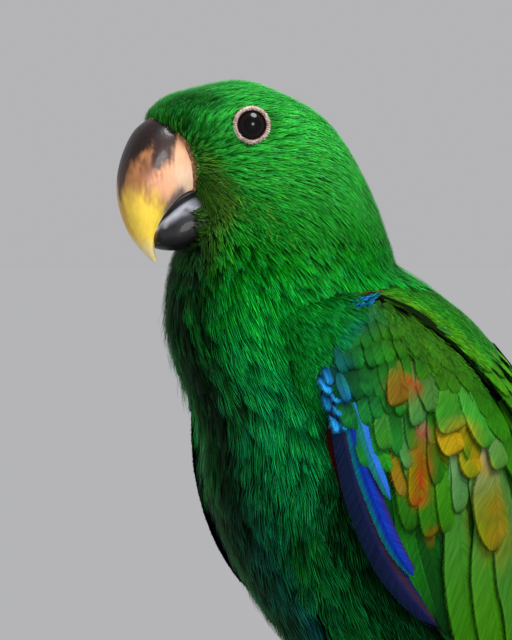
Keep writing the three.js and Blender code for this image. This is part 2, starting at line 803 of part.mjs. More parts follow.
const FEATHER_GREEN = 0x14962a;
const WING_GREEN = 0x3f8f22;
const BEAK_AMBER = 0xf2b33a;
const BEAK_SLATE = 0x2b2a2e;
const LID_PINK = 0xe3c4b4;
const EYE_BROWN = 0x1c1210;
const FOOT_GREY = 0x5b5a58;
const BARK_BROWN = 0x8a6a48;
const STAND_DARK = 0x2a2826;

const beakUpper = upperBeak();
const beakRoom = upperBeak(GAP);
const lowerRoom = lowerBeak(GAP);
const beakLower = largest(lowerBeak().subtract(beakRoom));
const cere = largest(
  cereSolid()
    .subtract(beakRoom)
    .subtract(lowerRoom)
    .subtract(
      union(
        [-1, 1].map((side) => {
          const n = CERE.nostril;
          const at = inHead(n.forward, n.left * side, n.z);
          return solid(new THREE.SphereGeometry(n.radius, 10, 8).translate(at.x, at.y, at.z));
        }),
      ),
    ),
);
const sockets = union([
  ...[-1, 1].map((side) => eyeball(side, GAP)),
  ...[-1, 1].map((side) => eyeRing(side, GAP)),
  beakRoom,
  lowerRoom,
  cereSolid(GAP),
]);

const torsoRoom = bodySolid(NECK_END - 1.2, LAST_SECTION, GAP);
const thighs = [-1, 1].map((side) => largest(thighSolid(side).subtract(torsoRoom)));

const WING_TOLERANCE = 0.12; // how far the joined feathers may be smoothed to spare small facets
const SECTION_CUT = 0.05; // half the width of the cut between two lengths of the body, in sections
part.name = 'eclectus_parrot_on_stand';
add('head', largest(bodySolid(0, HEAD_END - SECTION_CUT).subtract(sockets), 0.06), FEATHER_GREEN);
add('neck', largest(bodySolid(HEAD_END, NECK_END - SECTION_CUT).subtract(sockets)), FEATHER_GREEN);
add('torso', bodySolid(NECK_END, LAST_SECTION), FEATHER_GREEN);
add('beak_upper', beakUpper, BEAK_AMBER, 0.35);
add('beak_lower', beakLower, BEAK_SLATE, 0.35);
add('cere', cere, 0x9a7446, 0.7);

const tail = largest(tailSolid().subtract(torsoRoom));
const wingRoom = union([torsoRoom, tailRoom(), ...[-1, 1].map((side) => thighSolid(side, GAP))]);
for (const [name, side] of [['left', 1], ['right', -1]]) {
  const index = side > 0 ? 1 : 0;
  add(`eye_${name}`, eyeball(side), EYE_BROWN, 0.1);
  add(`eye_ring_${name}`, largest(eyeRing(side).subtract(eyeball(side, GAP))), LID_PINK, 0.6);
  add(`thigh_${name}`, thighs[index], FEATHER_GREEN);
  const shank = footSolid(side).subtract(thighSolid(side, GAP));
  const claws = TOES.map((toe) => clawSolid(side, toe));
  const foot = largest(shank.subtract(union(TOES.map((toe) => clawSolid(side, toe)))));
  add(`foot_${name}`, foot, FOOT_GREY, 0.6);
  claws.forEach((claw, i) => add(`claw_${name}_${TOES[i].name}`, claw, BEAK_SLATE, 0.3));
  const wing = side > 0 ? wingSolid(LEFT_HOLD) : wingSolid(RIGHT_HOLD).mirror([1, 0, 0]);
  add(`wing_${name}`, largest(wing.subtract(wingRoom), WING_TOLERANCE), WING_GREEN);
}
add('tail', tail, WING_GREEN);
add('perch', perchSolid().subtract(rodSolid()), BARK_BROWN, 0.9);
add('stand_rod', rodSolid(), STAND_DARK, 0.4, 0.6);
add('stand_base', baseSolid(), STAND_DARK, 0.5);

export default part;
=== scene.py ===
"""Male eclectus parrot, life size, perched on a short branch over a rod and a round base.

Sizes are in millimetres and become metres where a mesh is made. The bird faces -Y, its left side is +X.
"""

import logging
import math
from dataclasses import dataclass, field
from enum import Enum
from typing import Callable, Iterable, Optional, Sequence, Union

import bmesh
import bpy
import numpy as np
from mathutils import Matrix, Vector
from mathutils.bvhtree import BVHTree


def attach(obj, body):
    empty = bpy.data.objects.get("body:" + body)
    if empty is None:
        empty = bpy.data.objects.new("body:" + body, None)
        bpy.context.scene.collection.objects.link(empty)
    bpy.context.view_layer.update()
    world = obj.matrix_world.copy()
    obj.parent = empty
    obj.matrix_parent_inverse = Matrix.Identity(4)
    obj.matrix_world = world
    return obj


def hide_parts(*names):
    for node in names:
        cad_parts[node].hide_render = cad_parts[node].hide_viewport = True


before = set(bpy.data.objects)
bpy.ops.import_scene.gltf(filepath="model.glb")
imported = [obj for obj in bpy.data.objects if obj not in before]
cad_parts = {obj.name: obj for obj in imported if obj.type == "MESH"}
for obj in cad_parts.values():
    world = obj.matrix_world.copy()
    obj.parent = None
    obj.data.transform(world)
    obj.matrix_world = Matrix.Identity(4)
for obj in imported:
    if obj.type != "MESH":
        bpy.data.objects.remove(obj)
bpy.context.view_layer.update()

LOG = logging.getLogger("parrot")
MM = 0.001
TURN = 2 * math.pi
Array = np.ndarray
Rows = Sequence[Sequence[float]]
Piece, Finish, Shell = bpy.types.Object, bpy.types.Material, bmesh.types.BMesh
Tree, Node = bpy.types.NodeTree, bpy.types.Node


# Numbers and colours


def linear(code: str) -> tuple[float, float, float, float]:
    """Turns an sRGB hex colour to linear light.

    Args:
        code: Six hex digits after a hash.

    Returns:
        Red, green, blue and an alpha of 1.
    """
    parts = [int(code[i : i + 2], 16) / 255 for i in (1, 3, 5)]
    light = [c / 12.92 if c <= 0.04045 else ((c + 0.055) / 1.055) ** 2.4 for c in parts]
    return (*light, 1.0)


def dye(code: str) -> Array:
    """An sRGB hex colour as a linear array of three."""
    return np.array(linear(code)[:3])


def mix(low: Array, high: Array, share: Array) -> Array:
    """Goes from low at 0 to high at 1."""
    return low + (high - low) * share


def paint(base: Array, code: str, share: Array) -> Array:
    """Lays an sRGB hex colour over linear ones, where share is 1."""
    return mix(base, dye(code), share[..., None])


def shaded(base: Array, factor: float, share: Array) -> Array:
    """Makes colours darker or lighter by a factor, where share is 1."""
    return mix(base, base * factor, share[..., None])


def ease(value: Array, low: float, high: float) -> Array:
    """Rises smoothly from 0 at low to 1 at high."""
    share = np.clip((np.asarray(value, float) - low) / (high - low), 0, 1)
    return share * share * (3 - 2 * share)


def norm(vectors: Array) -> Array:
    """Lengths of vectors."""
    return np.linalg.norm(vectors, axis=-1)


def unit(vectors: Array) -> Array:
    """Vectors of length 1 that point the same way."""
    return vectors / np.maximum(np.linalg.norm(vectors, axis=-1, keepdims=True), 1e-9)


def flat(ways: Array, normals: Array) -> Array:
    """Ways of length 1 along a surface with these normals."""
    return unit(ways - normals * np.sum(ways * normals, -1, keepdims=True))


def swung(ways: Array, normals: Array, angles: Array) -> Array:
    """Ways along a surface, each turned by an angle."""
    return ways * np.cos(angles)[:, None] + np.cross(normals, ways) * np.sin(angles)[:, None]


def power(value: Array, exponent: Array) -> Array:
    """Signed power, which squares off a circle into a rounded outline."""
    return np.sign(value) * np.abs(value) ** (2 / exponent)


def rings(first: float, last: float, count: int, around: int) -> list[Array]:
    """Places along a form and angles round it, as rows of rings."""
    angles = np.linspace(0, TURN, around, endpoint=False)
    return np.meshgrid(np.linspace(first, last, count), angles, indexing="ij")


def signed(phi: Array) -> Array:
    """Angles in degrees, from -180 to 180."""
    return (np.degrees(phi) + 180) % 360 - 180


def unwrapped(u: Array, v: Array) -> Array:
    """Places on a piece's unwrap for shares of it, kept off its rim."""
    return 0.02 + 0.96 * np.clip(np.stack([u, v], -1), 0, 1)


def through(rows: Array, place: Array) -> Array:
    """Runs a smooth curve through rows of numbers.

    Args:
        rows: Numbers to pass through, one row or number for each whole place.
        place: Where to read the curve, counted in rows. Past the ends it goes on straight.

    Returns:
        The curve's value at each place.
    """
    rows, place = np.asarray(rows, float), np.asarray(place, float)
    last = len(rows) - 1
    index = np.clip(np.floor(place).astype(int), 0, last - 1)
    a, b, c, d = (rows[np.clip(index + k, 0, last)] for k in (-1, 0, 1, 2))
    t = place - index
    outside = (place < 0) | (place > last)
    if rows.ndim > 1:
        t, outside = t[..., None], outside[..., None]
    curve = b + 0.5 * t * (c - a + t * (2 * a - 5 * b + 4 * c - d + t * (3 * (b - c) + d - a)))
    return np.where(outside, b + (c - b) * t, curve)


class Mottle:
    """Smooth random variation over space, the same on each run."""

    def __init__(self, seed: int) -> None:
        """Draws a block of random numbers that repeats."""
        self.block = np.random.default_rng(seed).random((24, 24, 24)) * 2 - 1

    def at(self, points: Array, size: float) -> Array:
        """Reads the variation.

        Args:
            points: Places in millimetres.
            size: Width of one patch in millimetres.

        Returns:
            One number from -1 to 1 for each place.
        """
        place = np.asarray(points, float) / size
        low = np.floor(place).astype(int)
        t = place - low
        t = t * t * (3 - 2 * t)
        total = np.zeros(place.shape[:-1])
        for corner in np.ndindex(2, 2, 2):
            weight = np.prod([t[..., k] if corner[k] else 1 - t[..., k] for k in range(3)], axis=0)
            index = tuple((low[..., k] + corner[k]) % 24 for k in range(3))
            total += weight * self.block[index]
        return total


MOTTLE = Mottle(7)


# Forms that the bird is built on

HEAD_TURN = math.radians(-9)
NECK_AXIS_Y = -34.0


def turned(points: Array, share: Array) -> Array:
    """Turns points of the head about the neck's upright axis.

    Args:
        points: Places with the head straight.
        share: 1 on the head and 0 below the neck.

    Returns:
        The places with the head turned.
    """
    cos, sin = np.cos(HEAD_TURN * share), np.sin(HEAD_TURN * share)
    x, y = points[..., 0], points[..., 1] - NECK_AXIS_Y
    moved = np.stack([x * cos - y * sin, NECK_AXIS_Y + x * sin + y * cos], -1)
    return np.concatenate([moved, points[..., 2:]], -1)


def in_head(forward: Array, left: Array, high: Array) -> Array:
    """A place fixed to the head: forward and left of the neck's axis, and its height in the model."""
    forward, left, high = np.broadcast_arrays(forward, left, high)
    return turned(np.stack([left, NECK_AXIS_Y - forward, high], -1).astype(float), 1.0)


class Form:
    """A rounded form given by cross sections across the bird's middle plane."""

    def __init__(self, rows: Rows, first: float = 0.0, step: float = 1.0) -> None:
        """Keeps the sections.

        Args:
            rows: Front y and z, back y and z, half width and squareness of each section.
            first: The place along the form of its first section.
            step: How far the place moves from one section to the next.
        """
        self.rows = np.array(rows, float)
        self.first = first
        self.step = step

    def shift(self, place: Array, phi: Array) -> Array:
        """The angle round the section, unchanged."""
        return phi

    def bend(self, points: Array, place: Array) -> Array:
        """The finished place of a point, unchanged."""
        return points

    def point(self, place: Array, phi: Array, outset: Array = 0.0) -> Array:
        """Finds points of the form.

        Args:
            place: Where along the form.
            phi: Angle round it: 0 is the breast, a quarter turn is the left side.
            outset: Height over the form.

        Returns:
            Places in millimetres.
        """
        place, phi, outset = np.broadcast_arrays(*(np.asarray(v, float) for v in (place, phi, outset)))
        row = through(self.rows, (place - self.first) / self.step)
        front_y, front_z, back_y, back_z, half, square = (row[..., k] for k in range(6))
        deep_y, deep_z = back_y - front_y, back_z - front_z
        depth = np.hypot(deep_y, deep_z)
        phi = self.shift(place, phi)
        reach = -power(np.cos(phi), square) * (depth / 2 + outset) / depth
        x = power(np.sin(phi), square) * (half + outset)
        y, z = (front_y + back_y) / 2 + deep_y * reach, (front_z + back_z) / 2 + deep_z * reach
        return self.bend(np.stack([x, y, z], -1), place)

    def axes(self, place: Array, phi: Array, outset: Array = 0.0) -> tuple[Array, Array, Array]:
        """Finds points of the form and the directions there.

        Args:
            place: Where along the form.
            phi: Angle round it.
            outset: Height over the form.

        Returns:
            The points, the unit vectors towards the tail, and the unit vectors outwards.
        """
        here = self.point(place, phi, outset)
        along = unit(self.point(np.asarray(place) + 0.02 * self.step, phi, outset) - here)
        around = unit(self.point(place, np.asarray(phi) + 0.02, outset) - here)
        return here, along, unit(np.cross(along, around))


class BodyForm(Form):
    """Head, neck and trunk in one, with the head turned a little."""

    def bend(self, points: Array, place: Array) -> Array:
        """Turns the head, less and less down the neck."""
        return turned(points, 1 - ease(place, 6.0, 9.5))


BODY = BodyForm(
    [
        (-49.6, 310.0, -48.0, 310.0, 0.6, 2.0), (-56.0, 308.9, -41.0, 309.2, 6.6, 2.0),
        (-66.2, 306.4, -34.8, 306.8, 11.8, 2.0), (-71.0, 303.9, -29.4, 304.6, 15.4, 2.05),
        (-74.1, 298.9, -21.2, 299.6, 19.0, 2.1), (-67.0, 290.5, -15.4, 292.5, 21.2, 2.15),
        (-63.2, 281.5, -10.6, 284.5, 22.6, 2.2), (-61.4, 272.5, -6.6, 276.5, 24.4, 2.2),
        (-64.0, 262.5, -2.8, 266.8, 27.8, 2.2), (-66.0, 252.5, 0.0, 258.6, 31.5, 2.2),
        (-65.0, 240.0, 10.4, 252.8, 36.0, 2.3), (-58.2, 226.5, 20.4, 243.9, 39.5, 2.35),
        (-51.6, 211.5, 31.2, 233.2, 41.5, 2.35), (-49.4, 195.5, 40.2, 221.2, 42.5, 2.35),
        (-43.8, 177.5, 48.6, 208.2, 42.0, 2.3), (-32.6, 158.5, 53.6, 192.2, 39.5, 2.25),
        (-17.6, 141.0, 57.0, 175.5, 34.0, 2.2), (0.5, 128.0, 59.0, 158.5, 26.5, 2.15),
        (19.0, 120.5, 61.0, 142.5, 19.0, 2.1), (34.0, 116.0, 62.5, 130.5, 14.0, 2.1),
    ],
    first=-1,
)
BODY_END = 18.0


class WingForm(Form):
    """What a folded wing lies on, with its front edge held as the left or the right one is."""

    def __init__(self, rows: Rows, step: float, shoulder: float, forearm: float) -> None:
        """Keeps the sections and how the wing is held.

        Args:
            rows: The sections, from the shoulder to the feather tips.
            step: Millimetres between two sections.
            shoulder: Degrees that the front edge lies back at the shoulder.
            forearm: The same at the end of the forearm.
        """
        super().__init__(rows, step=step)
        self.shoulder = shoulder
        self.forearm = forearm

    def shift(self, place: Array, phi: Array) -> Array:
        """The angle with the front edge moved as the wing is held."""
        held = mix(self.shoulder, self.forearm, ease(place, 30, 95)) * (1 - ease(place, 120, 200))
        return phi + np.radians(held * (1 - ease(np.degrees(phi), 60, 120)))

    @staticmethod
    def slope(along: Array, degrees: Array) -> Array:
        """Degrees that the feathers turn round the wing for a millimetre along it."""
        late = np.clip(np.asarray(along) - 60, 0, 60)
        band = ease(degrees, 57, 68) * (1 - ease(degrees, 92 + late * 0.15, 108 + late * 0.3))
        return mix(-0.32, 0.12, ease(along, 112, 150)) * band

    @staticmethod
    def parting(along: Array) -> Array:
        """Where the back's feathers end over the wing, in degrees."""
        spots = (-8, 3, 14, 22, 28.5, 38, 49, 63, 80, 100)
        return np.interp(along, spots, (80, 91, 102, 105.5, 108.3, 111, 112.3, 113.5, 115, 118))

    @staticmethod
    def crest(along: Array, off: Array) -> Array:
        """Height of the back's feathers over the form.

        Args:
            along: Millimetres from the shoulder.
            off: Degrees beyond the parting, where the feathers stand up like a lip.

        Returns:
            Millimetres over the form.
        """
        spots = (-5, 5, 12, 20, 30, 43, 50, 90)
        level = np.interp(along, spots, (-2.4, -1.1, -0.3, 0.5, 1.9, 2.6, 3.3, 3.4))
        return level + 1.6 * (1 - ease(off, 1, 13)) * ease(along, 0, 10)

    def lay(self, along: Array, degrees: Array, side: Array, height: Array) -> Array:
        """Finds points of a feather.

        Args:
            along: Where the shaft is, in millimetres from the shoulder.
            degrees: Where the shaft is round the form.
            side: Distance from the shaft, in millimetres.
            height: Height over the form.

        Returns:
            Places in millimetres.
        """
        phi = np.radians(degrees)
        step = math.radians(2)
        apart = norm(self.point(along, phi + step, height) - self.point(along, phi, height))
        return self.point(along, phi + side * step / apart, height)


WING_ROWS = [
    (-62.5, 246.0, 2.0, 259.5, 34.0, 2.3), (-61.0, 230.0, 14.0, 248.4, 40.0, 2.4),
    (-56.5, 213.0, 25.6, 235.8, 43.2, 2.4), (-51.5, 194.0, 36.8, 222.8, 44.6, 2.4),
    (-42.5, 173.5, 47.5, 209.5, 44.6, 2.4), (-29.0, 152.0, 55.0, 191.5, 42.5, 2.35),
    (-10.0, 133.0, 61.5, 171.0, 38.0, 2.3), (14.0, 117.0, 69.5, 149.0, 31.0, 2.2),
    (40.0, 101.0, 78.5, 126.0, 24.0, 2.1), (63.0, 82.0, 88.5, 101.5, 18.0, 2.0),
    (80.0, 61.0, 98.5, 76.0, 14.5, 2.0), (93.0, 39.0, 107.0, 50.0, 11.5, 2.0),
]


# Meshes


def wrap_grid(
    points: Array, colours: Optional[Array] = None, closed: bool = True, ends: bool = False
) -> Shell:
    """Lays a grid over rows of points, and joins its seam and its poles.

    Args:
        points: Places in millimetres, rows by columns by 3.
        colours: A colour for each point, or None.
        closed: Whether each row is a ring.
        ends: Whether the first and the last ring are closed to their middles.

    Returns:
        The mesh, facing outwards.
    """
    if ends:
        first, last = (np.repeat(points[k].mean(0)[None, None], points.shape[1], 1) for k in (0, -1))
        points = np.concatenate([first, points, last])
        if colours is not None:
            colours = np.concatenate([colours[:1], colours, colours[-1:]])
    rows, columns = points.shape[:2]
    across = columns if closed else columns - 1
    shell = bmesh.new()
    bmesh.ops.create_grid(shell, x_segments=across, y_segments=rows - 1, size=0.5)
    layer = shell.verts.layers.float_color.new("Coat") if colours is not None else None
    for vertex in shell.verts:
        row = round((vertex.co.y + 0.5) * (rows - 1))
        column = round((vertex.co.x + 0.5) * across) % columns
        vertex.co = points[row, column] * MM
        if layer is not None:
            vertex[layer] = (*colours[row, column], 1.0)
    bmesh.ops.remove_doubles(shell, verts=shell.verts, dist=2e-6)
    bmesh.ops.recalc_face_normals(shell, faces=shell.faces)
    return shell


def settle(name: str, shell: Shell, finish: Finish, stands_for: Iterable[str] = ()) -> Piece:
    """Makes a piece of a shell, which is used up, and seats it.

    Args:
        name: The piece's name.
        shell: The shell.
        finish: Its material.
        stands_for: CAD nodes that it replaces.

    Returns:
        The piece.
    """
    mesh = bpy.data.meshes.new(name)
    shell.to_mesh(mesh)
    shell.free()
    mesh.shade_smooth()
    return seat(name, mesh, finish, stands_for)


def seat(name: str, mesh: bpy.types.Mesh, finish: Finish, stands_for: Iterable[str] = ()) -> Piece:
    """Sets a mesh on the model.

    Args:
        name: The piece's name.
        mesh: The mesh.
        finish: Its material.
        stands_for: CAD nodes that it replaces.

    Returns:
        The piece.
    """
    piece = bpy.data.objects.new(name, mesh)
    mesh.materials.append(finish)
    bpy.context.scene.collection.objects.link(piece)
    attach(piece, "root")
    if stands_for:
        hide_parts(*stands_for)
    LOG.info("%s: %d faces", name, len(mesh.polygons))
    return piece


def joined(
    name: str, points: Array, faces: Sequence[Array], colours: Array, barbs: Array, patches: Array,
    mirror: bool,
) -> bpy.types.Mesh:
    """Joins many small shapes into one mesh.

    Args:
        name: The mesh's name.
        points: All places in millimetres.
        faces: Arrays of triangles and of quads.
        colours: A colour for each point.
        barbs: Millimetres along the barbs' pattern for each point.
        patches: A place on the unwrap for each point.
        mirror: Whether left and right change places.

    Returns:
        The mesh, with a colour, a pattern and an unwrap.
    """
    if mirror:
        points, faces = points * (-1, 1, 1), [f[:, ::-1] for f in faces]
    mesh = bpy.data.meshes.new(name)
    mesh.vertices.add(len(points))
    mesh.vertices.foreach_set("co", (points * MM).astype(np.float32).ravel())
    corners = np.concatenate([f.ravel() for f in faces]).astype(np.int32)
    totals = np.concatenate([np.full(len(f), f.shape[1]) for f in faces]).astype(np.int32)
    starts = np.concatenate([[0], np.cumsum(totals)[:-1]]).astype(np.int32)
    mesh.loops.add(len(corners))
    mesh.loops.foreach_set("vertex_index", corners)
    mesh.polygons.add(len(totals))
    mesh.polygons.foreach_set("loop_start", starts)
    mesh.polygons.foreach_set("loop_total", totals)
    shades = np.concatenate([np.clip(colours, 0, 1), np.ones((len(points), 1))], 1)
    coat = mesh.color_attributes.new("Coat", "FLOAT_COLOR", "POINT")
    coat.data.foreach_set("color", shades.astype(np.float32).ravel())
    pattern = mesh.attributes.new("Barb", "FLOAT", "POINT")
    pattern.data.foreach_set("value", barbs.astype(np.float32))
    unwrap = mesh.uv_layers.new(name="OFBake")
    unwrap.data.foreach_set("uv", patches[corners].astype(np.float32).ravel())
    mesh.update(calc_edges=True)
    mesh.shade_smooth()
    return mesh


def surface_over(parts: Iterable[Union[Shell, Piece]]) -> BVHTree:
    """A search tree over shells or finished pieces, in metres.

    Args:
        parts: The shells or pieces.

    Returns:
        The tree.
    """
    points: list[Vector] = []
    faces: list[list[int]] = []
    for part in parts:
        if isinstance(part, Piece):
            faces += [[v + len(points) for v in face.vertices] for face in part.data.polygons]
            points += [v.co.copy() for v in part.data.vertices]
        else:
            part.verts.index_update()
            faces += [[v.index + len(points) for v in face.verts] for face in part.faces]
            points += [v.co.copy() for v in part.verts]
    return BVHTree.FromPolygons(points, faces)


def nearest(tree: BVHTree, points: Array) -> tuple[Array, Array]:
    """The places of a surface nearest to points, in millimetres, and the directions outwards there."""
    found = [tree.find_nearest(Vector(p * MM)) for p in points]
    return np.array([f[0] for f in found]) / MM, np.array([f[1] for f in found])


def limb(path: Rows, steps: int, around: int, swell: Optional[Callable] = None) -> Array:
    """Rings round a bent limb with rounded ends.

    Args:
        path: Places on its middle line, each with the radius there.
        steps: Rings along it.
        around: Points in each ring.
        swell: Gives a factor on the radius for a share along, or None.

    Returns:
        Rows of ring points in millimetres.
    """
    path = np.array(path, float)
    shares = np.linspace(0, 1, steps)
    line = through(path, shares * (len(path) - 1))
    ways = unit(np.gradient(line[:, :3], axis=0))
    side = unit(np.cross(ways[0], (0.31, 0.2, 0.93)))
    angles = np.linspace(0, TURN, around, endpoint=False)[:, None]
    made = []
    for share, row, way in zip(shares, line, ways):
        side = unit(side - way * (side @ way))
        spokes = np.cos(angles) * side + np.sin(angles) * np.cross(way, side)
        grow = swell(share) if swell else 1.0
        wide = spokes * row[3]
        ring = [row[:3] + wide * grow]
        if share in (0, 1):
            out = way * row[3] * (1 if share else -1)
            cap = [row[:3] + out * math.sqrt(1 - k * k) + wide * k * grow for k in (0.0, 0.5, 0.87)]
            ring = ring + cap[::-1] if share else cap + ring
        made += ring
    return np.array(made)


def gather(shells: Iterable[Shell]) -> Shell:
    """Joins several shells into one and frees them.

    Args:
        shells: The shells.

    Returns:
        The whole.
    """
    whole = bmesh.new()
    for shell in shells:
        part = bpy.data.meshes.new("part")
        shell.to_mesh(part)
        shell.free()
        whole.from_mesh(part)
        bpy.data.meshes.remove(part)
    return whole


# Finishes


def add_node(
    tree: Tree, kind: str, settings: Optional[dict] = None, values: Optional[dict] = None, **links
) -> Node:
    """Adds a node to a material.

    Args:
        tree: The material's nodes.
        kind: The node's type.
        settings: Its own properties.
        values: Numbers and colours for its sockets.
        **links: What feeds its sockets: a socket, or a node with its first output. A name has _ for each
            space in the socket's name, or is in_0 for the first socket.

    Returns:
        The node.
    """
    node = tree.nodes.new(kind)
    for name, value in (settings or {}).items():
        setattr(node, name, value)
    for name, value in (values or {}).items():
        node.inputs[name].default_value = value
    for name, source in links.items():
        key = int(name[3:]) if name.startswith("in_") else name.replace("_", " ")
        socket = source.outputs[0] if isinstance(source, Node) else source
        tree.links.new(socket, node.inputs[key])
    return node


def started(name: str) -> tuple[Finish, Tree, bpy.types.NodeSocket]:
    """Starts a material.

    Args:
        name: Its name.

    Returns:
        The material, its tree and the socket that gives places on the object.
    """
    material = bpy.data.materials.new(name)
    material.use_nodes = True
    tree = material.node_tree
    tree.nodes.clear()
    return material, tree, add_node(tree, "ShaderNodeTexCoord").outputs["Object"]


def finished(material: Finish, values: dict, **links) -> Finish:
    """Puts a shader with these values and links on a material's output.

    Args:
        material: The material.
        values: Numbers and colours for the shader's sockets.
        **links: What feeds its sockets, as for add_node.

    Returns:
        The material.
    """
    shader = add_node(material.node_tree, "ShaderNodeBsdfPrincipled", values=values, **links)
    add_node(material.node_tree, "ShaderNodeOutputMaterial", Surface=shader)
    return material


def ramp(tree: Tree, source: Node, low: float, dark: str, high: float, light: str) -> Node:
    """Colours that follow a pattern.

    Args:
        tree: The material's nodes.
        source: The pattern, from 0 to 1.
        low: Where the dark colour ends.
        dark: Its sRGB hex code.
        high: Where the light colour starts.
        light: Its sRGB hex code.

    Returns:
        The ramp.
    """
    node = add_node(tree, "ShaderNodeValToRGB", Fac=source)
    for element, spot, code in zip(node.color_ramp.elements, (low, high), (dark, light)):
        element.position = spot
        element.color = linear(code)
    return node


def dressed(tree: Tree, pattern: Node, dark: float, light: float) -> Node:
    """The mesh's own colour, made darker and lighter by a pattern.

    Args:
        tree: The material's nodes.
        pattern: The pattern, from 0 to 1.
        dark: Brightness where it is 0.
        light: Brightness where it is 1.

    Returns:
        The node that gives the colour.
    """
    coat = add_node(tree, "ShaderNodeAttribute", {"attribute_name": "Coat"})
    level = add_node(tree, "ShaderNodeMapRange", values={"To Min": dark, "To Max": light}, Value=pattern)
    return add_node(tree, "ShaderNodeVectorMath", {"operation": "SCALE"}, in_0=coat, Scale=level)


@dataclass(frozen=True)
class BarbKeratin:
    """Loose feather barbs, preened: soft satin keratin with a thin oily gloss."""

    name: str = "feather_barbs_preened"
    roughness: float = 0.42
    speck: float = 0.9  # mm

    def make(self) -> Finish:
        """Returns the material, whose fine specks keep neighbouring barbs from looking alike."""
        material, tree, spot = started(self.name)
        size = {"Scale": 1 / (self.speck * MM), "Detail": 1.0}
        speck = add_node(tree, "ShaderNodeTexNoise", values=size, Vector=spot)
        gloss = {"Roughness": self.roughness, "Specular IOR Level": 0.02, "Specular Tint": linear("#8CF0B0")}
        sheen = {"Sheen Weight": 0.1, "Sheen Roughness": 0.4, "Sheen Tint": linear("#A0F0A8")}
        return finished(material, gloss | sheen, Base_Color=dressed(tree, speck, 0.72, 1.3))


@dataclass(frozen=True)
class VaneKeratin:
    """Closed feather vanes: barbs zipped side by side, seen as fine slanting ridges and a satin sheen."""

    name: str = "feather_vane_zipped_barbs"
    roughness: float = 0.46
    pitch: float = 0.62  # mm between two ridges, drawn about twice as coarse as they are so that they show
    depth: float = 0.10  # mm
    clump: float = 8.0  # mm, the length over which barbs of one tone hold together
    bunch: float = 0.55  # mm across the barbs in one clump

    def make(self) -> Finish:
        """Returns the material, with ridges along the barbs in its colour and its bump."""
        material, tree, spot = started(self.name)
        madd = {"operation": "MULTIPLY_ADD"}
        barb = add_node(tree, "ShaderNodeAttribute", {"attribute_name": "Barb"}).outputs["Fac"]
        size = {"Scale": 1 / (1.6 * MM), "Detail": 2.0}
        speck = add_node(tree, "ShaderNodeTexNoise", values=size, Vector=spot)
        phase = add_node(tree, "ShaderNodeMath", madd, {1: 2.2, 2: 0.0}, in_0=speck)
        turn = add_node(tree, "ShaderNodeMath", madd, {1: TURN / self.pitch}, in_0=barb, in_2=phase)
        wave = add_node(tree, "ShaderNodeMath", {"operation": "SINE"}, in_0=turn)
        ridge = add_node(tree, "ShaderNodeMapRange", values={"From Min": -1.0}, Value=wave)
        share = {1: self.clump * MM / self.bunch}
        bunch = add_node(tree, "ShaderNodeMath", {"operation": "MULTIPLY"}, share, in_0=barb)
        size = {"Scale": 1 / (self.clump * MM), "Detail": 2.0}
        streak = add_node(tree, "ShaderNodeTexNoise", {"noise_dimensions": "4D"}, size, Vector=spot, W=bunch)
        bold = add_node(tree, "ShaderNodeMath", madd, {1: 1.8, 2: -0.5}, in_0=streak)
        both = add_node(tree, "ShaderNodeMath", madd, {1: 0.1}, in_0=ridge, in_2=bold)
        relief = {"Strength": 0.3, "Distance": self.depth * MM}
        bump = add_node(tree, "ShaderNodeBump", values=relief, Height=ridge)
        values = {"Roughness": self.roughness, "Specular IOR Level": 0.03}
        return finished(material, values, Base_Color=dressed(tree, both, 0.55, 1.4), Normal=bump)


@dataclass(frozen=True)
class DownySkin:
    """Skin under the coat, with down: matt, and seen only as the depth between feathers, as painted shade."""

    name: str = "downy_skin"
    down: float = 1.2  # mm

    def make(self) -> Finish:
        """Returns the material, with a tufty bump."""
        material, tree, spot = started(self.name)
        size = {"Scale": 1 / (self.down * MM), "Detail": 3.0}
        down = add_node(tree, "ShaderNodeTexNoise", values=size, Vector=spot)
        bump = add_node(tree, "ShaderNodeBump", values={"Distance": 0.4 * MM}, Height=down)
        values = {"Roughness": 0.9, "Specular IOR Level": 0.05}
        return finished(material, values, Base_Color=dressed(tree, down, 0.6, 1.4), Normal=bump)


@dataclass(frozen=True)
class BeakHorn:
    """Grown beak horn, worn smooth by use: a waxy half gloss with growth streaks and a few dull scratches."""

    name: str = "beak_horn_worn_smooth"
    streak: float = 0.9  # mm
    roughness: float = 0.3
    gloss: float = 0.14

    def make(self) -> Finish:
        """Returns the material, with streaks down the beak and a finely scuffed surface."""
        material, tree, spot = started(self.name)
        stretch = add_node(tree, "ShaderNodeMapping", values={"Scale": (1.0, 1.0, 0.22)}, Vector=spot)
        size = {"Scale": 1 / (self.streak * MM), "Detail": 4.0}
        streak = add_node(tree, "ShaderNodeTexNoise", values=size, Vector=stretch)
        size = {"Scale": 1 / (0.5 * MM), "Detail": 3.0}
        scuff = add_node(tree, "ShaderNodeTexNoise", values=size, Vector=spot)
        span = {"To Min": self.roughness - 0.08, "To Max": self.roughness + 0.2}
        dull = add_node(tree, "ShaderNodeMapRange", values=span, Value=scuff)
        relief = {"Strength": 0.5, "Distance": 0.12 * MM}
        bump = add_node(tree, "ShaderNodeBump", values=relief, Height=streak)
        gloss = {"Coat Weight": self.gloss, "Coat Roughness": 0.12, "Specular IOR Level": 0.22}
        depth = {"Subsurface Weight": 0.12, "Subsurface Radius": (1.0, 0.5, 0.2)}
        values = gloss | depth | {"Subsurface Scale": 0.6 * MM}
        colour = dressed(tree, streak, 0.78, 1.18)
        return finished(material, values, Base_Color=colour, Roughness=dull, Normal=bump)


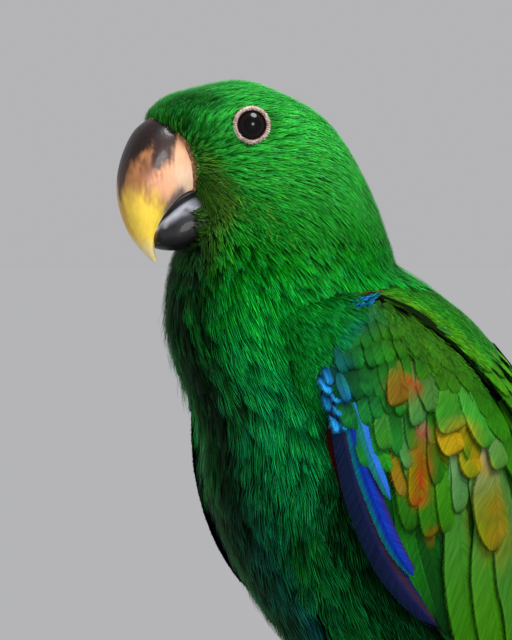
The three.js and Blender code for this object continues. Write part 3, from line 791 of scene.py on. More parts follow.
@dataclass(frozen=True)
class BareSkin:
    """Bare skin with small folds or grains: soft, faintly moist, paler on the raised parts."""

    name: str
    low: str
    high: str
    grain: float  # mm
    relief: float = 0.15  # mm
    roughness: float = 0.55

    def make(self) -> Finish:
        """Returns the material, paler on the grains than between them."""
        material, tree, spot = started(self.name)
        size = 1 / (self.grain * MM)
        grain = add_node(tree, "ShaderNodeTexVoronoi", {"feature": "SMOOTH_F1"}, {"Scale": size}, Vector=spot)
        tint = add_node(tree, "ShaderNodeTexNoise", values={"Scale": 1 / (self.grain * 3 * MM)}, Vector=spot)
        both = add_node(tree, "ShaderNodeMath", {"operation": "MULTIPLY_ADD"}, {1: -0.8, 2: 0.9}, in_0=grain)
        mixed = add_node(tree, "ShaderNodeMath", {"operation": "MULTIPLY"}, in_0=both, in_1=tint)
        relief = {"Distance": self.relief * MM}
        bump = add_node(tree, "ShaderNodeBump", {"invert": True}, relief, Height=grain)
        colour = ramp(tree, mixed, 0.15, self.low, 0.5, self.high)
        return finished(material, {"Roughness": self.roughness}, Base_Color=colour, Normal=bump)


@dataclass(frozen=True)
class WetEye:
    """Living eye under tears: a black pupil in a very dark iris, below a hard clear gloss."""

    name: str = "eye_wet"

    def make(self) -> Finish:
        """Returns the material, which takes iris and pupil from the mesh and adds fine iris threads."""
        material, tree, spot = started(self.name)
        size = {"Scale": 1 / (0.5 * MM), "Detail": 2.0}
        thread = add_node(tree, "ShaderNodeTexNoise", values=size, Vector=spot)
        gloss = {"Coat Weight": 1.0, "Coat Roughness": 0.03, "Coat IOR": 1.26}
        values = {"Roughness": 0.35, "Specular IOR Level": 0.02}
        return finished(material, gloss | values, Base_Color=dressed(tree, thread, 0.5, 1.5))


@dataclass(frozen=True)
class Wood:
    """Wood, sawn or still in its bark: streaks along the grain, which runs along one axis."""

    name: str
    dark: str
    light: str
    along: tuple[float, float, float]  # how much the grain is drawn out on each axis
    grain: float  # mm
    relief: float  # mm
    roughness: float
    gloss: float = 0.0

    def make(self) -> Finish:
        """Returns the material, with grain in its colour, its bump and its gloss."""
        material, tree, spot = started(self.name)
        stretch = add_node(tree, "ShaderNodeMapping", values={"Scale": self.along}, Vector=spot)
        size = {"Scale": 1 / (self.grain * MM), "Detail": 6.0, "Roughness": 0.62}
        grain = add_node(tree, "ShaderNodeTexNoise", values=size, Vector=stretch)
        bump = add_node(tree, "ShaderNodeBump", values={"Distance": self.relief * MM}, Height=grain)
        span = {"To Min": self.roughness - 0.1, "To Max": self.roughness + 0.12}
        rough = add_node(tree, "ShaderNodeMapRange", values=span, Value=grain)
        values = {"Coat Weight": self.gloss, "Coat Roughness": 0.25}
        colour = ramp(tree, grain, 0.3, self.dark, 0.7, self.light)
        return finished(material, values, Base_Color=colour, Roughness=rough, Normal=bump)


@dataclass(frozen=True)
class SatinPaint:
    """Steel rod, sprayed with dark satin paint: an even coat with a faint orange peel."""

    name: str = "steel_rod_satin_paint"

    def make(self) -> Finish:
        """Returns the material, with the paint's peel as a shallow bump."""
        material, tree, spot = started(self.name)
        peel = add_node(tree, "ShaderNodeTexNoise", values={"Scale": 1 / (1.1 * MM)}, Vector=spot)
        bump = add_node(tree, "ShaderNodeBump", values={"Strength": 0.4, "Distance": 0.05 * MM}, Height=peel)
        colour = ramp(tree, peel, 0.3, "#26231F", 0.7, "#34302B")
        return finished(material, {"Roughness": 0.42}, Base_Color=colour, Normal=bump)


@dataclass(frozen=True)
class StudioPaper:
    """Matt paper of the studio floor."""

    name: str = "studio_paper"

    def make(self) -> Finish:
        """Returns the material, with a barely visible tooth."""
        material, tree, spot = started(self.name)
        tooth = add_node(tree, "ShaderNodeTexNoise", values={"Scale": 400.0}, Vector=spot)
        colour = ramp(tree, tooth, 0.0, "#89898B", 1.0, "#8F8F91")
        return finished(material, {"Roughness": 0.95}, Base_Color=colour)


# Colours of the coat


@dataclass(frozen=True)
class Mark:
    """A soft patch of another colour on the coat, which some marks use as painted shade."""

    code: str
    place: float
    degrees: float
    long: float
    wide: float
    strength: float = 1.0
    edge: float = 0.5

    def laid(self, colours: Array, place: Array, degrees: Array, rough: Array) -> Array:
        """Lays the patch over colours.

        Args:
            colours: The colours so far.
            place: Where they are along the form.
            degrees: Where they are round it.
            rough: A small number that frays the patch's edge.

        Returns:
            The colours with the patch on them.
        """
        off = np.hypot((place - self.place) / self.long, (degrees - self.degrees) / self.wide) + rough
        return paint(colours, self.code, (1 - ease(off, 1 - self.edge, 1 + self.edge)) * self.strength)


class BodyColours:
    """Greens of the head and body, with the marks that the photograph shows."""

    STOPS = (-1, 2, 5, 7, 8.8, 10.3, 11.2, 11.9, 12.8, 14, 16, 18)
    # The dark green at 11.9, on the belly, is partly its own colour and partly painted shade.
    CODES = (
        "#2EA83E", "#28A032", "#228A26", "#086E08", "#14C038", "#16B640",
        "#107E26", "#0A5218", "#107028", "#0A6020", "#0F5A20", "#16661F",
    )
    # Painted shade: the marks at 2.3/34, 12.0/0, 7.3/13, 9.6/-3, 8.9/11, 8.6/-12 and 12.6/56.
    MARKS = (
        Mark("#06400A", 2.3, 34, 1.2, 28, 0.85), Mark("#04240C", 12.0, 0, 1.8, 15, 0.6),
        Mark("#3F7E1A", 5.3, 16, 1.7, 17, 0.7), Mark("#4F6A22", 5.0, 30, 1.0, 9, 0.55),
        Mark("#3A5A1A", 6.0, 10, 1.1, 14, 0.6), Mark("#12A058", 10.2, 22, 1.6, 24, 0.5),
        Mark("#065A0E", 9.4, 62, 1.3, 17, 0.75), Mark("#052205", 7.3, 13, 1.1, 12, 0.75),
        Mark("#0A6A4A", 12.2, 6, 1.2, 12, 0.3), Mark("#0B4A4A", 13.2, 4, 1.4, 14, 0.35),
        Mark("#0A3A66", 13.9, 12, 0.8, 8, 0.3), Mark("#031406", 9.6, -3, 2.8, 7, 0.92),
        Mark("#021204", 8.9, 11, 1.9, 3.8, 0.92), Mark("#04260A", 8.6, -12, 2.4, 11, 0.8),
        Mark("#03200A", 12.6, 56, 2.4, 18, 0.82), Mark("#7A1010", 11.5, 84, 2.6, 10, 0.9),
        Mark("#0E5A1A", 10.6, 180, 3.4, 62, 0.8),
    )
    ONE_SIDED = 24  # degrees from the breast's middle, beyond which the right side mirrors the left

    def at(self, place: Array, degrees: Array, points: Array) -> Array:
        """Colours of the coat.

        Args:
            place: Where along the body.
            degrees: Angle round it, from -180 to 180.
            points: The places in space, for the variation.

        Returns:
            Linear colours.
        """
        codes = np.array([dye(code) for code in self.CODES])
        base = np.stack([np.interp(place, self.STOPS, codes[:, k]) for k in range(3)], -1)
        side = np.where(np.abs(degrees) > self.ONE_SIDED, np.abs(degrees), degrees)
        fray = MOTTLE.at(points, 3.0) * 0.28
        for mark in self.MARKS:
            base = mark.laid(base, place, side, fray)
        return base


BODY_COLOURS = BodyColours()


class WingColours:
    """Greens, blues and the orange and yellow marks of the folded wing."""

    GROUND = (
        Mark("#083E20", 20, 64, 26, 11, 0.85), Mark("#0A4A50", 8, 82, 8, 7, 0.6),
        Mark("#0A5A5E", 20, 66, 9, 5, 0.6), Mark("#2F5C09", 24, 101, 26, 13, 0.8),
    )
    MARKS = (
        Mark("#60420C", 40.4, 83.3, 4.4, 4.2, 0.75, 0.9), Mark("#8A2C10", 39.5, 86.6, 4.0, 1.3, 0.75, 0.8),
        Mark("#7E3036", 58, 83.2, 3.4, 1.6, 0.85), Mark("#64540A", 63, 80.8, 4.6, 3.0, 0.85, 0.7),
        Mark("#6A4E08", 69, 78.4, 5.0, 3.2, 0.85, 0.7), Mark("#6E4C08", 75, 75.8, 4.4, 3.2, 0.85, 0.7),
        Mark("#84340A", 66, 79.6, 4.6, 0.8, 0.7, 0.8), Mark("#98240A", 72.4, 77.1, 3.8, 1.0, 0.85, 0.8),
        Mark("#943A0A", 78.2, 73.4, 1.8, 3.0, 0.8), Mark("#7A5A0A", 90.1, 73.7, 2.0, 2.4, 0.8),
        Mark("#8E7408", 63.5, 91, 5.0, 5.2, 0.75, 0.9), Mark("#92740A", 75, 93.4, 5.0, 1.8, 0.8, 0.8),
        Mark("#5A5A12", 94, 92, 7.0, 6.0, 0.7), Mark("#80620A", 91.5, 92.2, 2.2, 3.0, 0.6, 0.8),
        Mark("#846A0A", 99.5, 90.3, 3.4, 5.0, 0.6, 0.8), Mark("#8A5A0E", 41, 127, 3.6, 3.2, 0.85),
    )
    OWN = 0.92  # how much a feather's own colour covers the ground

    def at(self, along: Array, degrees: Array, points: Array, shade: Optional[Array] = None) -> Array:
        """Colours of the wing.

        Args:
            along: Millimetres from the shoulder.
            degrees: Angle round the form.
            points: The places in space, for the variation.
            shade: A feather's own colour, which goes under the bright marks, or None.

        Returns:
            Linear colours.
        """
        fray = MOTTLE.at(points, 2.2) * 0.3 + MOTTLE.at(points, 0.7) * 0.22
        base = paint(dye("#175C0B"), "#256003", ease(along, 20, 110))
        base = paint(base, "#126A28", 1 - ease(degrees, 62, 90))
        base = paint(base, "#2A6A07", ease(degrees, 96, 130) * 0.7)
        for mark in self.GROUND:
            base = mark.laid(base, along, degrees, fray)
        if shade is not None:
            base = mix(base, shade, self.OWN)
        for mark in self.MARKS:
            base = mark.laid(base, along, degrees, fray)
        return base


WING_COLOURS = WingColours()


# Small feathers


@dataclass
class Tufts:
    """Small feathers: each a short vane, dark as painted shade, with a fan of loose barbs over it."""

    points: Array
    normals: Array
    flows: Array
    lengths: Array
    halves: Array
    depths: Array
    colours: Array
    patches: Array
    barbs: int = 12
    width: float = 0.36  # mm, of a barb
    seed: int = 1
    stray: float = 0.12  # how unlike each other neighbouring barbs are
    patchy: float = 0.26  # how unlike each other neighbouring feathers are
    # sheen and gleam are a painted sheen: the brightest tips turn towards the gleam colour.
    sheen: float = 0.12  # how white the brightest tips are
    gleam: str = "#34E088"  # what the brightest tips turn to
    # veil lifts the painted shade of the covered parts.
    veil: float = 0.0  # how light the covered parts are
    mirror: bool = False

    STEPS = 3  # stretches in which a feather follows what it lies on
    ROUND = 56  # mm2, how fast a feather's sides fall away from its middle
    PATCH = 0.0011  # size of a feather on the unwrap
    # Share along a barb, spread of the fan, height, half width and tone there.
    # The tone falls towards the root: partly the barbs' darker bases, partly painted shade where covered.
    FAN = (
        (0.0, 0.26, 0.08, 0.35, 0.06), (0.42, 0.7, 0.62, 0.5, 0.24), (0.74, 0.93, 0.9, 0.44, 0.8),
        (1.0, 1.0, 1.0, 0.0, 1.0),
    )
    # Share along a vane, half width, height and tone there.
    # The low tones of the vane are painted shade under the fan of barbs.
    VANE = ((0.08, 0.4, 0.05, 0.04), (0.5, 0.84, 0.46, 0.1), (0.8, 0.62, 0.7, 0.3))

    def laid_on(self, skin: BVHTree) -> None:
        """Follows the skin from each root to its tip, and keeps the places and directions on the way."""
        here, way = self.points, self.flows
        spots, ups, ways = [here], [self.normals], [way]
        for _ in range(self.STEPS):
            here, normals = nearest(skin, here + way * (self.lengths / self.STEPS)[:, None])
            ups.append(unit(normals + ups[-1] * 0.5))
            way = flat(way, ups[-1])
            spots.append(here)
            ways.append(way)
        self.track = [np.stack(v, 1) for v in (spots, ups, ways)]

    def laid_along(
        self, form: Form, roots: Array, degrees: Array, slopes: Array, height: Callable, onward: float = 1.0
    ) -> None:
        """Follows a form instead of a skin.

        Args:
            form: The form.
            roots: Where the roots are along it.
            degrees: Where they are round it.
            slopes: Degrees that each feather turns for a millimetre of its length.
            height: Gives the height of the undersides for places along the form and degrees round it.
            onward: Millimetres that each goes along for a millimetre of its length.
        """
        shares = np.linspace(0, 1, self.STEPS + 1)[None, :] * self.lengths[:, None]
        along, degrees = roots[:, None] + shares * onward, degrees[:, None] + shares * slopes[:, None]
        spots, _, outs = form.axes(along, np.radians(degrees), height(along, degrees))
        self.track = [spots, outs, unit(np.gradient(spots, axis=1))]

    def spot(self, share: Array, side: Array, height: Array) -> Array:
        """A place on each feather.

        Args:
            share: Share of its length from the root.
            side: Distance from its middle, in millimetres.
            height: Height over the skin.

        Returns:
            Places in millimetres.
        """
        scaled = np.clip(share, 0, 0.9999) * self.STEPS
        low = scaled.astype(int)
        t = (scaled - low)[..., None]
        rows = np.arange(len(self.points)).reshape(-1, *([1] * (share.ndim - 1)))
        here, out, way = (mix(v[rows, low], v[rows, low + 1], t) for v in self.track)
        height = height - side * side / self.ROUND
        return here + np.cross(out, way) * side[..., None] + out * height[..., None]

    def build(self, name: str, finish: Finish, slot: str) -> Piece:
        """Makes all barbs and vanes as one piece.

        Args:
            name: The piece's name.
            finish: Its material.
            slot: A material slot; not used.

        Returns:
            The piece.
        """
        draw = np.random.default_rng(self.seed)
        fans, faces, shades, spots = self.fans(draw)
        vanes, quads, tints, places = self.vanes(draw)
        points, colours = np.concatenate([fans, vanes]), np.concatenate([shades, tints])
        patches = np.concatenate([spots, places])
        faces.append(quads + len(fans))
        mesh = joined(name, points, faces, colours, np.zeros(len(points)), patches, self.mirror)
        return seat(name, mesh, finish)

    def fans(self, draw: np.random.Generator) -> tuple[Array, list[Array], Array, Array]:
        """The loose barbs, seven points to each.

        Args:
            draw: The source of random numbers.

        Returns:
            Their points, faces, colours and places on the unwrap.
        """
        count, fan = len(self.points), self.barbs
        shape = (count, fan)
        q = np.linspace(-1, 1, fan)[None, :] + draw.normal(0, 0.4 / fan, shape)
        half, depth = self.halves[:, None], self.depths[:, None]
        split = draw.uniform(-0.7, 0.7, (count, 2, 1))
        q = q + sum(np.sign(q - split[:, k]) * 0.055 for k in (0, 1))
        loose = min(self.stray / 0.12, 1.1)
        roll = draw.normal(0, 0.13, (count, 1)) * loose
        skew = draw.normal(0, 0.10, (count, 1))
        lift = draw.normal(0, 0.10, (count, 1)) + draw.normal(0, 0.07, shape) * loose
        tip = np.clip(1 - 0.24 * q * q + draw.normal(0, 0.035, shape), 0.5, 1.0)
        start = 0.04 + 0.26 * draw.random(shape)
        thick = self.width * (0.8 + 0.4 * draw.random(shape))
        rows, tones = [], []
        for share, spread, high, wide, tone in self.FAN:
            side = q * spread * half + (skew * share * share + draw.normal(0, 0.03, shape) * share) * half
            level = depth * (high + lift * share) + side * roll * share
            edges = (-1, 1) if wide else (0,)
            rows += [self.spot(mix(start, tip, share), side + thick * wide * k, level) for k in edges]
            tones += [float(mix(tone, 1.0, self.veil))] * len(edges)
        hue = draw.normal(0, 1, (count, 1, 1)) * 0.35 + draw.normal(0, 1, (*shape, 1)) * self.stray * 2.0
        level = np.exp(draw.normal(0, self.patchy, (count, 1, 1)) + draw.normal(0, self.stray, (*shape, 1)))
        body = self.colours[:, None, :] * level
        warm, cool = body * (1.4, 1.05, 0.7), body * (0.7, 1.0, 1.6)
        tinted = np.where(hue > 0, mix(body, warm, np.minimum(hue, 1)), mix(body, cool, np.minimum(-hue, 1)))
        # Painted highlight: each barb's last points are lighter and bluer, and some tips take the gleam.
        white = draw.random((count, 1, 1)) ** 3 * self.sheen
        painted_tip_highlight = mix(tinted * (1.2, 1.35, 1.7), dye(self.gleam), white)
        colours = np.stack([tinted * tone for tone in tones[:-1]] + [painted_tip_highlight], 2).reshape(-1, 3)
        first = (np.arange(count * fan) * 7)[:, None]
        faces = [first + (4, 6, 5), np.concatenate([first + (0, 2, 3, 1), first + (2, 4, 5, 3)])]
        spread = np.array([(-1, -1), (1, -1), (-1, -0.3), (1, -0.3), (-1, 0.4), (1, 0.4), (0, 1)])
        patches = self.patches[:, None, None, :] + spread * self.PATCH
        patches = patches + np.stack([q * 0.0004, 0 * q], -1)[:, :, None, :]
        return np.stack(rows, 2).reshape(-1, 3), faces, colours, patches.reshape(-1, 2)

    def vanes(self, draw: np.random.Generator) -> tuple[Array, Array, Array, Array]:
        """The short vane under each fan of barbs.

        Args:
            draw: The source of random numbers.

        Returns:
            Their points, quads, colours and places on the unwrap.
        """
        count = len(self.points)
        roll = draw.normal(0, 0.08, (count, 1))
        points, marks = [], []
        for share, wide, high, tone in self.VANE:
            side = np.array([-1.0, 0.0, 1.0])[None, :] * self.halves[:, None] * wide
            level = self.depths[:, None] * high + side * roll - np.abs(side) * 0.08
            points.append(self.spot(np.full((count, 3), share), side, level))
            # Painted shade: the vane is dark under its barbs.
            marks.append(np.repeat(self.colours[:, None, :] * mix(tone, 0.8, self.veil), 3, 1))
        cells = np.array([(0, 3, 4, 1), (1, 4, 5, 2), (3, 6, 7, 4), (4, 7, 8, 5)])
        quads = ((np.arange(count) * 9)[:, None, None] + cells).reshape(-1, 4)
        spread = np.array([(i, j) for j in (-1, 0, 1) for i in (-1, 0, 1)]) * self.PATCH
        patches = (self.patches[:, None, :] + spread).reshape(-1, 2)
        return np.stack(points, 1).reshape(-1, 3), quads, np.stack(marks, 1).reshape(-1, 3), patches


BEAK_ROOT = in_head(30.0, 0.0, 289.0)


@dataclass
class Skin:
    """One skin under head, neck, trunk and thighs, sunk below the form by the depth of the coat."""

    along: int = 170
    around: int = 120
    leg_x: float = 18.0
    thigh: tuple[tuple[float, float, float, float], ...] = (
        (2.0, -2.0, 152.0, 11.2), (1.5, -0.9, 138.0, 10.6), (0.5, 0.0, 127.2, 6.8), (0.0, 0.5, 121.0, 3.8),
        (0.0, -0.7, 118.0, 3.1),
    )

    @staticmethod
    def coat(place: Array) -> Array:
        """Depth of the coat along the body, in millimetres."""
        return np.interp(place, (-1, 3, 6, 9, 12, 16, 18), (1.3, 1.1, 1.3, 2.4, 2.8, 2.6, 1.6))

    def trunk(self) -> Shell:
        """Head, neck and trunk as one closed shell."""
        place, phi = rings(-1, BODY_END, self.along, self.around)
        points = BODY.point(place, phi, -self.coat(place))
        colours = BODY_COLOURS.at(place, signed(phi), points)
        # Painted shade: the skin takes the coat's colours, made dark, for the depth between feathers.
        return wrap_grid(points, colours * np.interp(place, (5.5, 8), (0.45, 0.1))[..., None], ends=True)

    def leg(self, side: int) -> Shell:
        """One thigh as a closed shell, where side is 1 for the left and -1 for the right."""
        rows = limb([(side * (self.leg_x + x), y, z, r) for x, y, z, r in self.thigh], 24, 36)
        # Painted shade: near-black green for the depth between the thigh's feathers.
        return wrap_grid(rows, np.broadcast_to(dye("#04240B"), rows.shape))

    def build(self, finish: Finish) -> tuple[Piece, BVHTree, BVHTree]:
        """Makes the skin.

        Args:
            finish: Its material.

        Returns:
            The piece, a search tree over the whole skin and one over the thighs alone.
        """
        trunk, legs = self.trunk(), [self.leg(side) for side in (-1, 1)]
        whole, thighs = surface_over([trunk, *legs]), surface_over(legs)
        nodes = ("head", "neck", "torso", "thigh_left", "thigh_right")
        return settle("skin", gather([trunk, *legs]), finish, nodes), whole, thighs


@dataclass
class Coat:
    """The small feathers of head, breast, back, belly and thighs, in rows from the face to the tail."""

    skin: BVHTree
    thighs: BVHTree
    faced: BVHTree
    blocked: Sequence[tuple[BVHTree, float]]
    eyes: Sequence[Array]
    beak: "Beak"
    eye_clear: float = 5.1
    stops: tuple[float, ...] = (-1.0, 3.0, 5.0, 6.6, 8.0, 10.0, 12.5, 16.0, 18.0)
    apart: tuple[float, ...] = (0.5, 0.45, 0.5, 0.8, 1.9, 3.0, 3.3, 3.3, 3.0)
    step: tuple[float, ...] = (1.9, 2.0, 2.2, 2.6, 3.5, 4.8, 5.2, 5.0, 4.4)
    length: tuple[float, ...] = (6.0, 6.8, 7.2, 8.0, 11.0, 15.0, 16.5, 15.5, 12.0)
    half: tuple[float, ...] = (0.4, 0.36, 0.4, 0.66, 1.6, 2.8, 3.2, 3.1, 2.6)

    SMOOTH = {"stray": 0.16, "patchy": 0.2, "sheen": 0.5, "veil": 0.5, "gleam": "#90E8A8"}
    LINED = {"stray": 0.36, "patchy": 0.18, "sheen": 0.8, "veil": 0.03}
    # Name, first and last place, barbs to a feather, width of a barb, look and slot.
    PIECES = (
        ("coat_crown", -1, 4.2, 3, 0.19, SMOOTH, "head_feather"),
        ("coat_cheek", 4.2, 6.6, 3, 0.2, SMOOTH, "head_feather"),
        ("coat_neck", 6.6, 8.6, 8, 0.2, LINED | {"stray": 0.3, "sheen": 0.5, "veil": 0.12}, "head_feather"),
        ("coat_collar", 8.6, 10.2, 11, 0.26, LINED, "body_feather"),
        ("coat_breast", 10.2, 12.0, 12, 0.3, LINED | {"sheen": 0.4}, "body_feather"),
        ("coat_belly", 12.0, 14.2, 12, 0.32, LINED | {"sheen": 0.25}, "body_feather"),
        ("coat_rump", 14.2, 18.1, 12, 0.4, LINED | {"sheen": 0.1}, "body_feather"),
    )

    def roots(self) -> tuple[Array, Array]:
        """Staggered rows of roots.

        Returns:
            Their places along the body and their angles round it.
        """
        draw = np.random.default_rng(3)
        places, angles, spot = [], [], -0.97
        while spot < BODY_END - 0.1:
            apart, step = (float(np.interp(spot, self.stops, v)) for v in (self.apart, self.step))
            step /= self.pitch(spot)
            ring = BODY.point(np.full(60, spot), np.linspace(0, TURN, 60))
            count = max(3, int(norm(np.diff(ring, axis=0)).sum() / apart))
            angles.append((np.arange(count) + draw.random() + draw.normal(0, 0.22, count)) / count * TURN)
            places.append(spot + draw.uniform(-0.5, 0.5, count) * step)
            spot += step
        return np.clip(np.concatenate(places), -1, BODY_END), np.concatenate(angles) % TURN

    @staticmethod
    def pitch(spot: float) -> float:
        """Millimetres from one section to the next at the bird's side."""
        ends = BODY.point(np.array([spot, spot + 0.1]), np.array([1.6, 1.6]))
        return max(2.0, float(norm(ends[1] - ends[0])) * 10)

    def kept(self, points: Array, tips: Array, normals: Array) -> Array:
        """Which feathers stay clear of beak, cere and eyes.

        Args:
            points: Their roots.
            tips: Their tips.
            normals: The directions outwards at the roots.

        Returns:
            True for each that does.
        """
        keep = np.ones(len(points), bool)
        for tree, room in self.blocked:
            for share, high in ((0.45, 0.8), (0.75, 1.0), (1.0, 1.0)):
                spots = mix(points, tips, share) + normals * high
                for i in np.flatnonzero(keep & (norm(spots - BEAK_ROOT) < 32)):
                    spot = Vector(spots[i] * MM)
                    near, normal, _, _ = tree.find_nearest(spot)
                    keep[i] = (spot - near).dot(normal) > room * MM
        for eye in self.eyes:
            for spots in (points, mix(points, tips, 0.5)):
                keep &= norm(spots - eye) > self.eye_clear
        return keep

    def build(self, finish: Finish) -> None:
        """Makes the coat in pieces from head to tail, with the thighs and the face's finest feathers last.

        Args:
            finish: The material of the barbs.
        """
        spot, phi = self.roots()
        draw, degrees, depth = np.random.default_rng(4), signed(phi), Skin.coat(spot)
        points, along, normals = BODY.axes(spot, phi, -depth)
        off = norm(points - BEAK_ROOT)
        flows = flat(mix(along, unit(points - BEAK_ROOT), (1 - ease(off, 26, 62))[:, None]), normals)
        turn = MOTTLE.at(points, 9.0) * np.interp(spot, (5, 9), (0.06, 0.12))
        turn += draw.normal(0, 1, len(spot)) * np.interp(spot, (5, 9, 12), (0.04, 0.05, 0.08))
        flows = swung(flows, normals, turn)
        size = np.exp(draw.normal(0, 0.12, len(spot)))
        face = 0.6 + 0.4 * ease(off, 10, 34)
        lengths, halves = (np.interp(spot, self.stops, v) * size * face for v in (self.length, self.half))
        for eye in self.eyes:
            inside = norm(points + flows * lengths[:, None] - eye) < self.eye_clear + 0.4
            room = norm(points - eye) - self.eye_clear
            lengths = np.where(inside, np.clip(room, 0.8, lengths), lengths)
        ragged = (degrees > -80) & (degrees < 0) & (spot > 8) & (spot < 11.6) & (draw.random(len(spot)) < 0.3)
        depth, lengths = depth + 1.6 * ragged, lengths * (1 + 0.25 * ragged)
        keep = self.kept(points, points + flows * lengths[:, None], normals)
        colours = BODY_COLOURS.at(spot, degrees, points)
        # Painted light: the small feathers near the beak are lighter, against the shade among them.
        colours *= (1 + 0.6 * (1 - ease(off, 14, 34)) * ease(spot, 2.4, 3.6))[:, None]
        fine = 0.16 * MOTTLE.at(points + 40, 3.2) * ease(spot, 7, 9)
        colours *= (1 + 0.16 * MOTTLE.at(points, 8.0) + fine)[:, None]
        patches = unwrapped(phi / TURN, (spot + 1) / (BODY_END + 1))
        every = (points, normals, flows, lengths, halves, depth + 0.1, colours, patches)
        for seed, (name, low, high, barbs, width, look, slot) in enumerate(self.PIECES):
            pick = keep & (spot >= low) & (spot < high)
            tufts = Tufts(*(values[pick] for values in every), barbs, width, 20 + seed, **look)
            tufts.laid_on(self.skin)
            tufts.build(name, finish, slot)
        self.legs(finish)
        self.bridle(finish, points, colours)
        self.whiskers(finish)

    def bridle(self, finish: Finish, near: Array, shades: Array) -> None:
        """Makes the tiny feathers that start on the edge of the cere and on the lower beak's sides.

        Args:
            finish: The material of the barbs.
            near: Roots of the coat.
            shades: Their colours, which the nearest tiny feathers take.
        """
        draw = np.random.default_rng(6)
        spots, ways, sizes = [], [], []
        for row in range(7):
            turn = np.linspace(-7.9, 7.9, 92) + draw.normal(0, 0.05, 92)
            s = self.beak.feather_edge(turn) - 0.16 * row - 0.05 + draw.normal(0, 0.03, 92)
            spots.append(self.beak.upper_ring(s, turn, 0.05))
            ways.append(self.beak.upper_ring(s - 0.1, turn, 0.05) - spots[-1])
            sizes.append(np.full(92, row * 0.09))
        for row in range(5):
            angle = np.linspace(0.36, 1.64, 110) * math.pi + draw.normal(0, 0.02, 110)
            s = 1.62 - 0.34 * row + draw.normal(0, 0.12, 110)
            spots.append(self.beak.lower_ring(s, angle, 0.05))
            ways.append(self.beak.lower_ring(s - 0.1, angle, 0.05) - spots[-1] + (0, 0, -0.25))
            sizes.append(np.full(110, 0.25 + row * 0.09))
        points, flows, size = (np.concatenate(v) for v in (spots, ways, sizes))
        under, out = nearest(self.skin, points)
        pick = np.sum((points - under) * out, 1) > -0.4
        points, flows, size = points[pick], flows[pick], size[pick]
        normals = nearest(self.faced, points)[1]
        flows = swung(flat(flows, normals), normals, draw.normal(0, 0.12 + 0.22 * (size > 0.2)))
        patches = unwrapped(np.linspace(0, 1, len(points)), draw.random(len(points)))
        below = np.where(size > 0.2, 0.6, 0.0) * (points[:, 2] < in_head(0, 0, 279.5)[2])
        alike = [np.argmin(np.sum((near - p) ** 2, 1)) for p in points]
        tufts = Tufts(
            points, normals, flows, (2.6 + 2.6 * size) * draw.uniform(0.7, 1.4, len(points)),
            np.where(size > 0.2, 0.5, 1.0) * (0.26 + 0.2 * draw.random(len(points))), 0.45 + size * 1.1,
            paint(shades[alike], "#2E4A14", below), patches, 4, 0.11, 61, 0.14, 0.36, 0.2, veil=0.06,
        )
        tufts.laid_on(self.faced)
        tufts.build("coat_bridle", finish, "head_feather")

    def whiskers(self, finish: Finish) -> None:
        """Makes the long loose strands of the lower cheeks, green, yellowish and brown."""
        draw, count = np.random.default_rng(9), 640
        side = np.where(np.arange(count) % 2, 1, -1)
        degrees = 12 + 62 * draw.random(count) ** 1.3
        spot = np.interp(degrees, (12, 33, 47, 61, 74), (5.1, 5.3, 5.7, 6.1, 6.6))
        spot = spot + draw.uniform(-0.7, 0.3, count)
        points, along, normals = BODY.axes(spot, np.radians(degrees) * side, -Skin.coat(spot) + 0.3)
        flows = flat(mix(along, unit(points - BEAK_ROOT), 0.75), normals)
        flows = swung(flows, normals, draw.normal(0, 0.16, count))
        kind = draw.random(count) + 0.009 * (degrees - 24)
        colours = paint(BODY_COLOURS.at(spot, degrees, points), "#4A481E", np.where(kind < 0.2, 0.7, 0.0))
        colours = paint(colours, "#649A2C", np.where((kind > 0.2) & (kind < 0.46), 0.45, 0.0))
        sizes = (draw.uniform(5.5, 9, count), draw.uniform(0.25, 0.5, count), draw.uniform(1.5, 2.3, count))
        patches = unwrapped((degrees * side + 80) / 160, (spot - 3.5) / 5)
        tufts = Tufts(points, normals, flows, *sizes, colours, patches, 3, 0.16, 62, 0.1, 0.3, 0.2, veil=0.2)
        tufts.laid_on(self.faced)
        tufts.build("coat_whiskers", finish, "head_feather")

    def legs(self, finish: Finish) -> None:
        """Makes the feathers of both thighs."""
        draw, count = np.random.default_rng(5), 620
        rows = limb(Skin.thigh, 60, 60)[4:-6]
        low = (draw.random((count, 2)) ** (0.8, 1.0) * (len(rows) - 1.01, 60)).astype(int)
        here = rows[low[:, 0], low[:, 1] % 60]
        here = here + draw.normal(0, 0.3, here.shape)
        both = np.concatenate([here * (side, 1, 1) + (side * Skin.leg_x, 0, 0) for side in (-1, 1)])
        points, normals = nearest(self.thighs, both)
        flows = flat(np.broadcast_to((0.0, 0.12, -1.0), points.shape), normals)
        spot = np.interp(points[:, 2], (118, 152), (14.5, 13.5))
        colours = BODY_COLOURS.at(spot, np.full(len(spot), 40.0), points)
        sizes = (np.full(len(points), v) for v in (8.0, 2.0, 1.7))
        patches = unwrapped(draw.random(len(points)), (points[:, 2] - 110) / 60)
        tufts = Tufts(points, normals, flows, *sizes, colours, patches, 14, 0.36, 60)
        tufts.laid_on(self.thighs)
        tufts.build("coat_thighs", finish, "body_feather")


# Vanes of wing and tail


class Dress(Enum):
    """How a vane is coloured."""

    GREEN = "green"
    NAVY = "navy"
    BLUE = "blue"
    TURQUOISE = "turquoise"
    RED = "red"
    BLOB = "blob"
    TAIL = "tail"
    TAIL_UNDER = "tail under"


@dataclass
class Vane:
    """One feather with a closed vane, laid on a form from its root to its tip."""

    path: Rows
    half: float
    rise: Sequence[float]
    dress: Dress = Dress.GREEN
    blunt: float = 0.55
    camber: float = 0.5
    tilt: float = 0.16
    fringe: float = 0.9
    tone: float = 1.0
    narrow: float = 0.5
    shades: tuple[str, ...] = ()


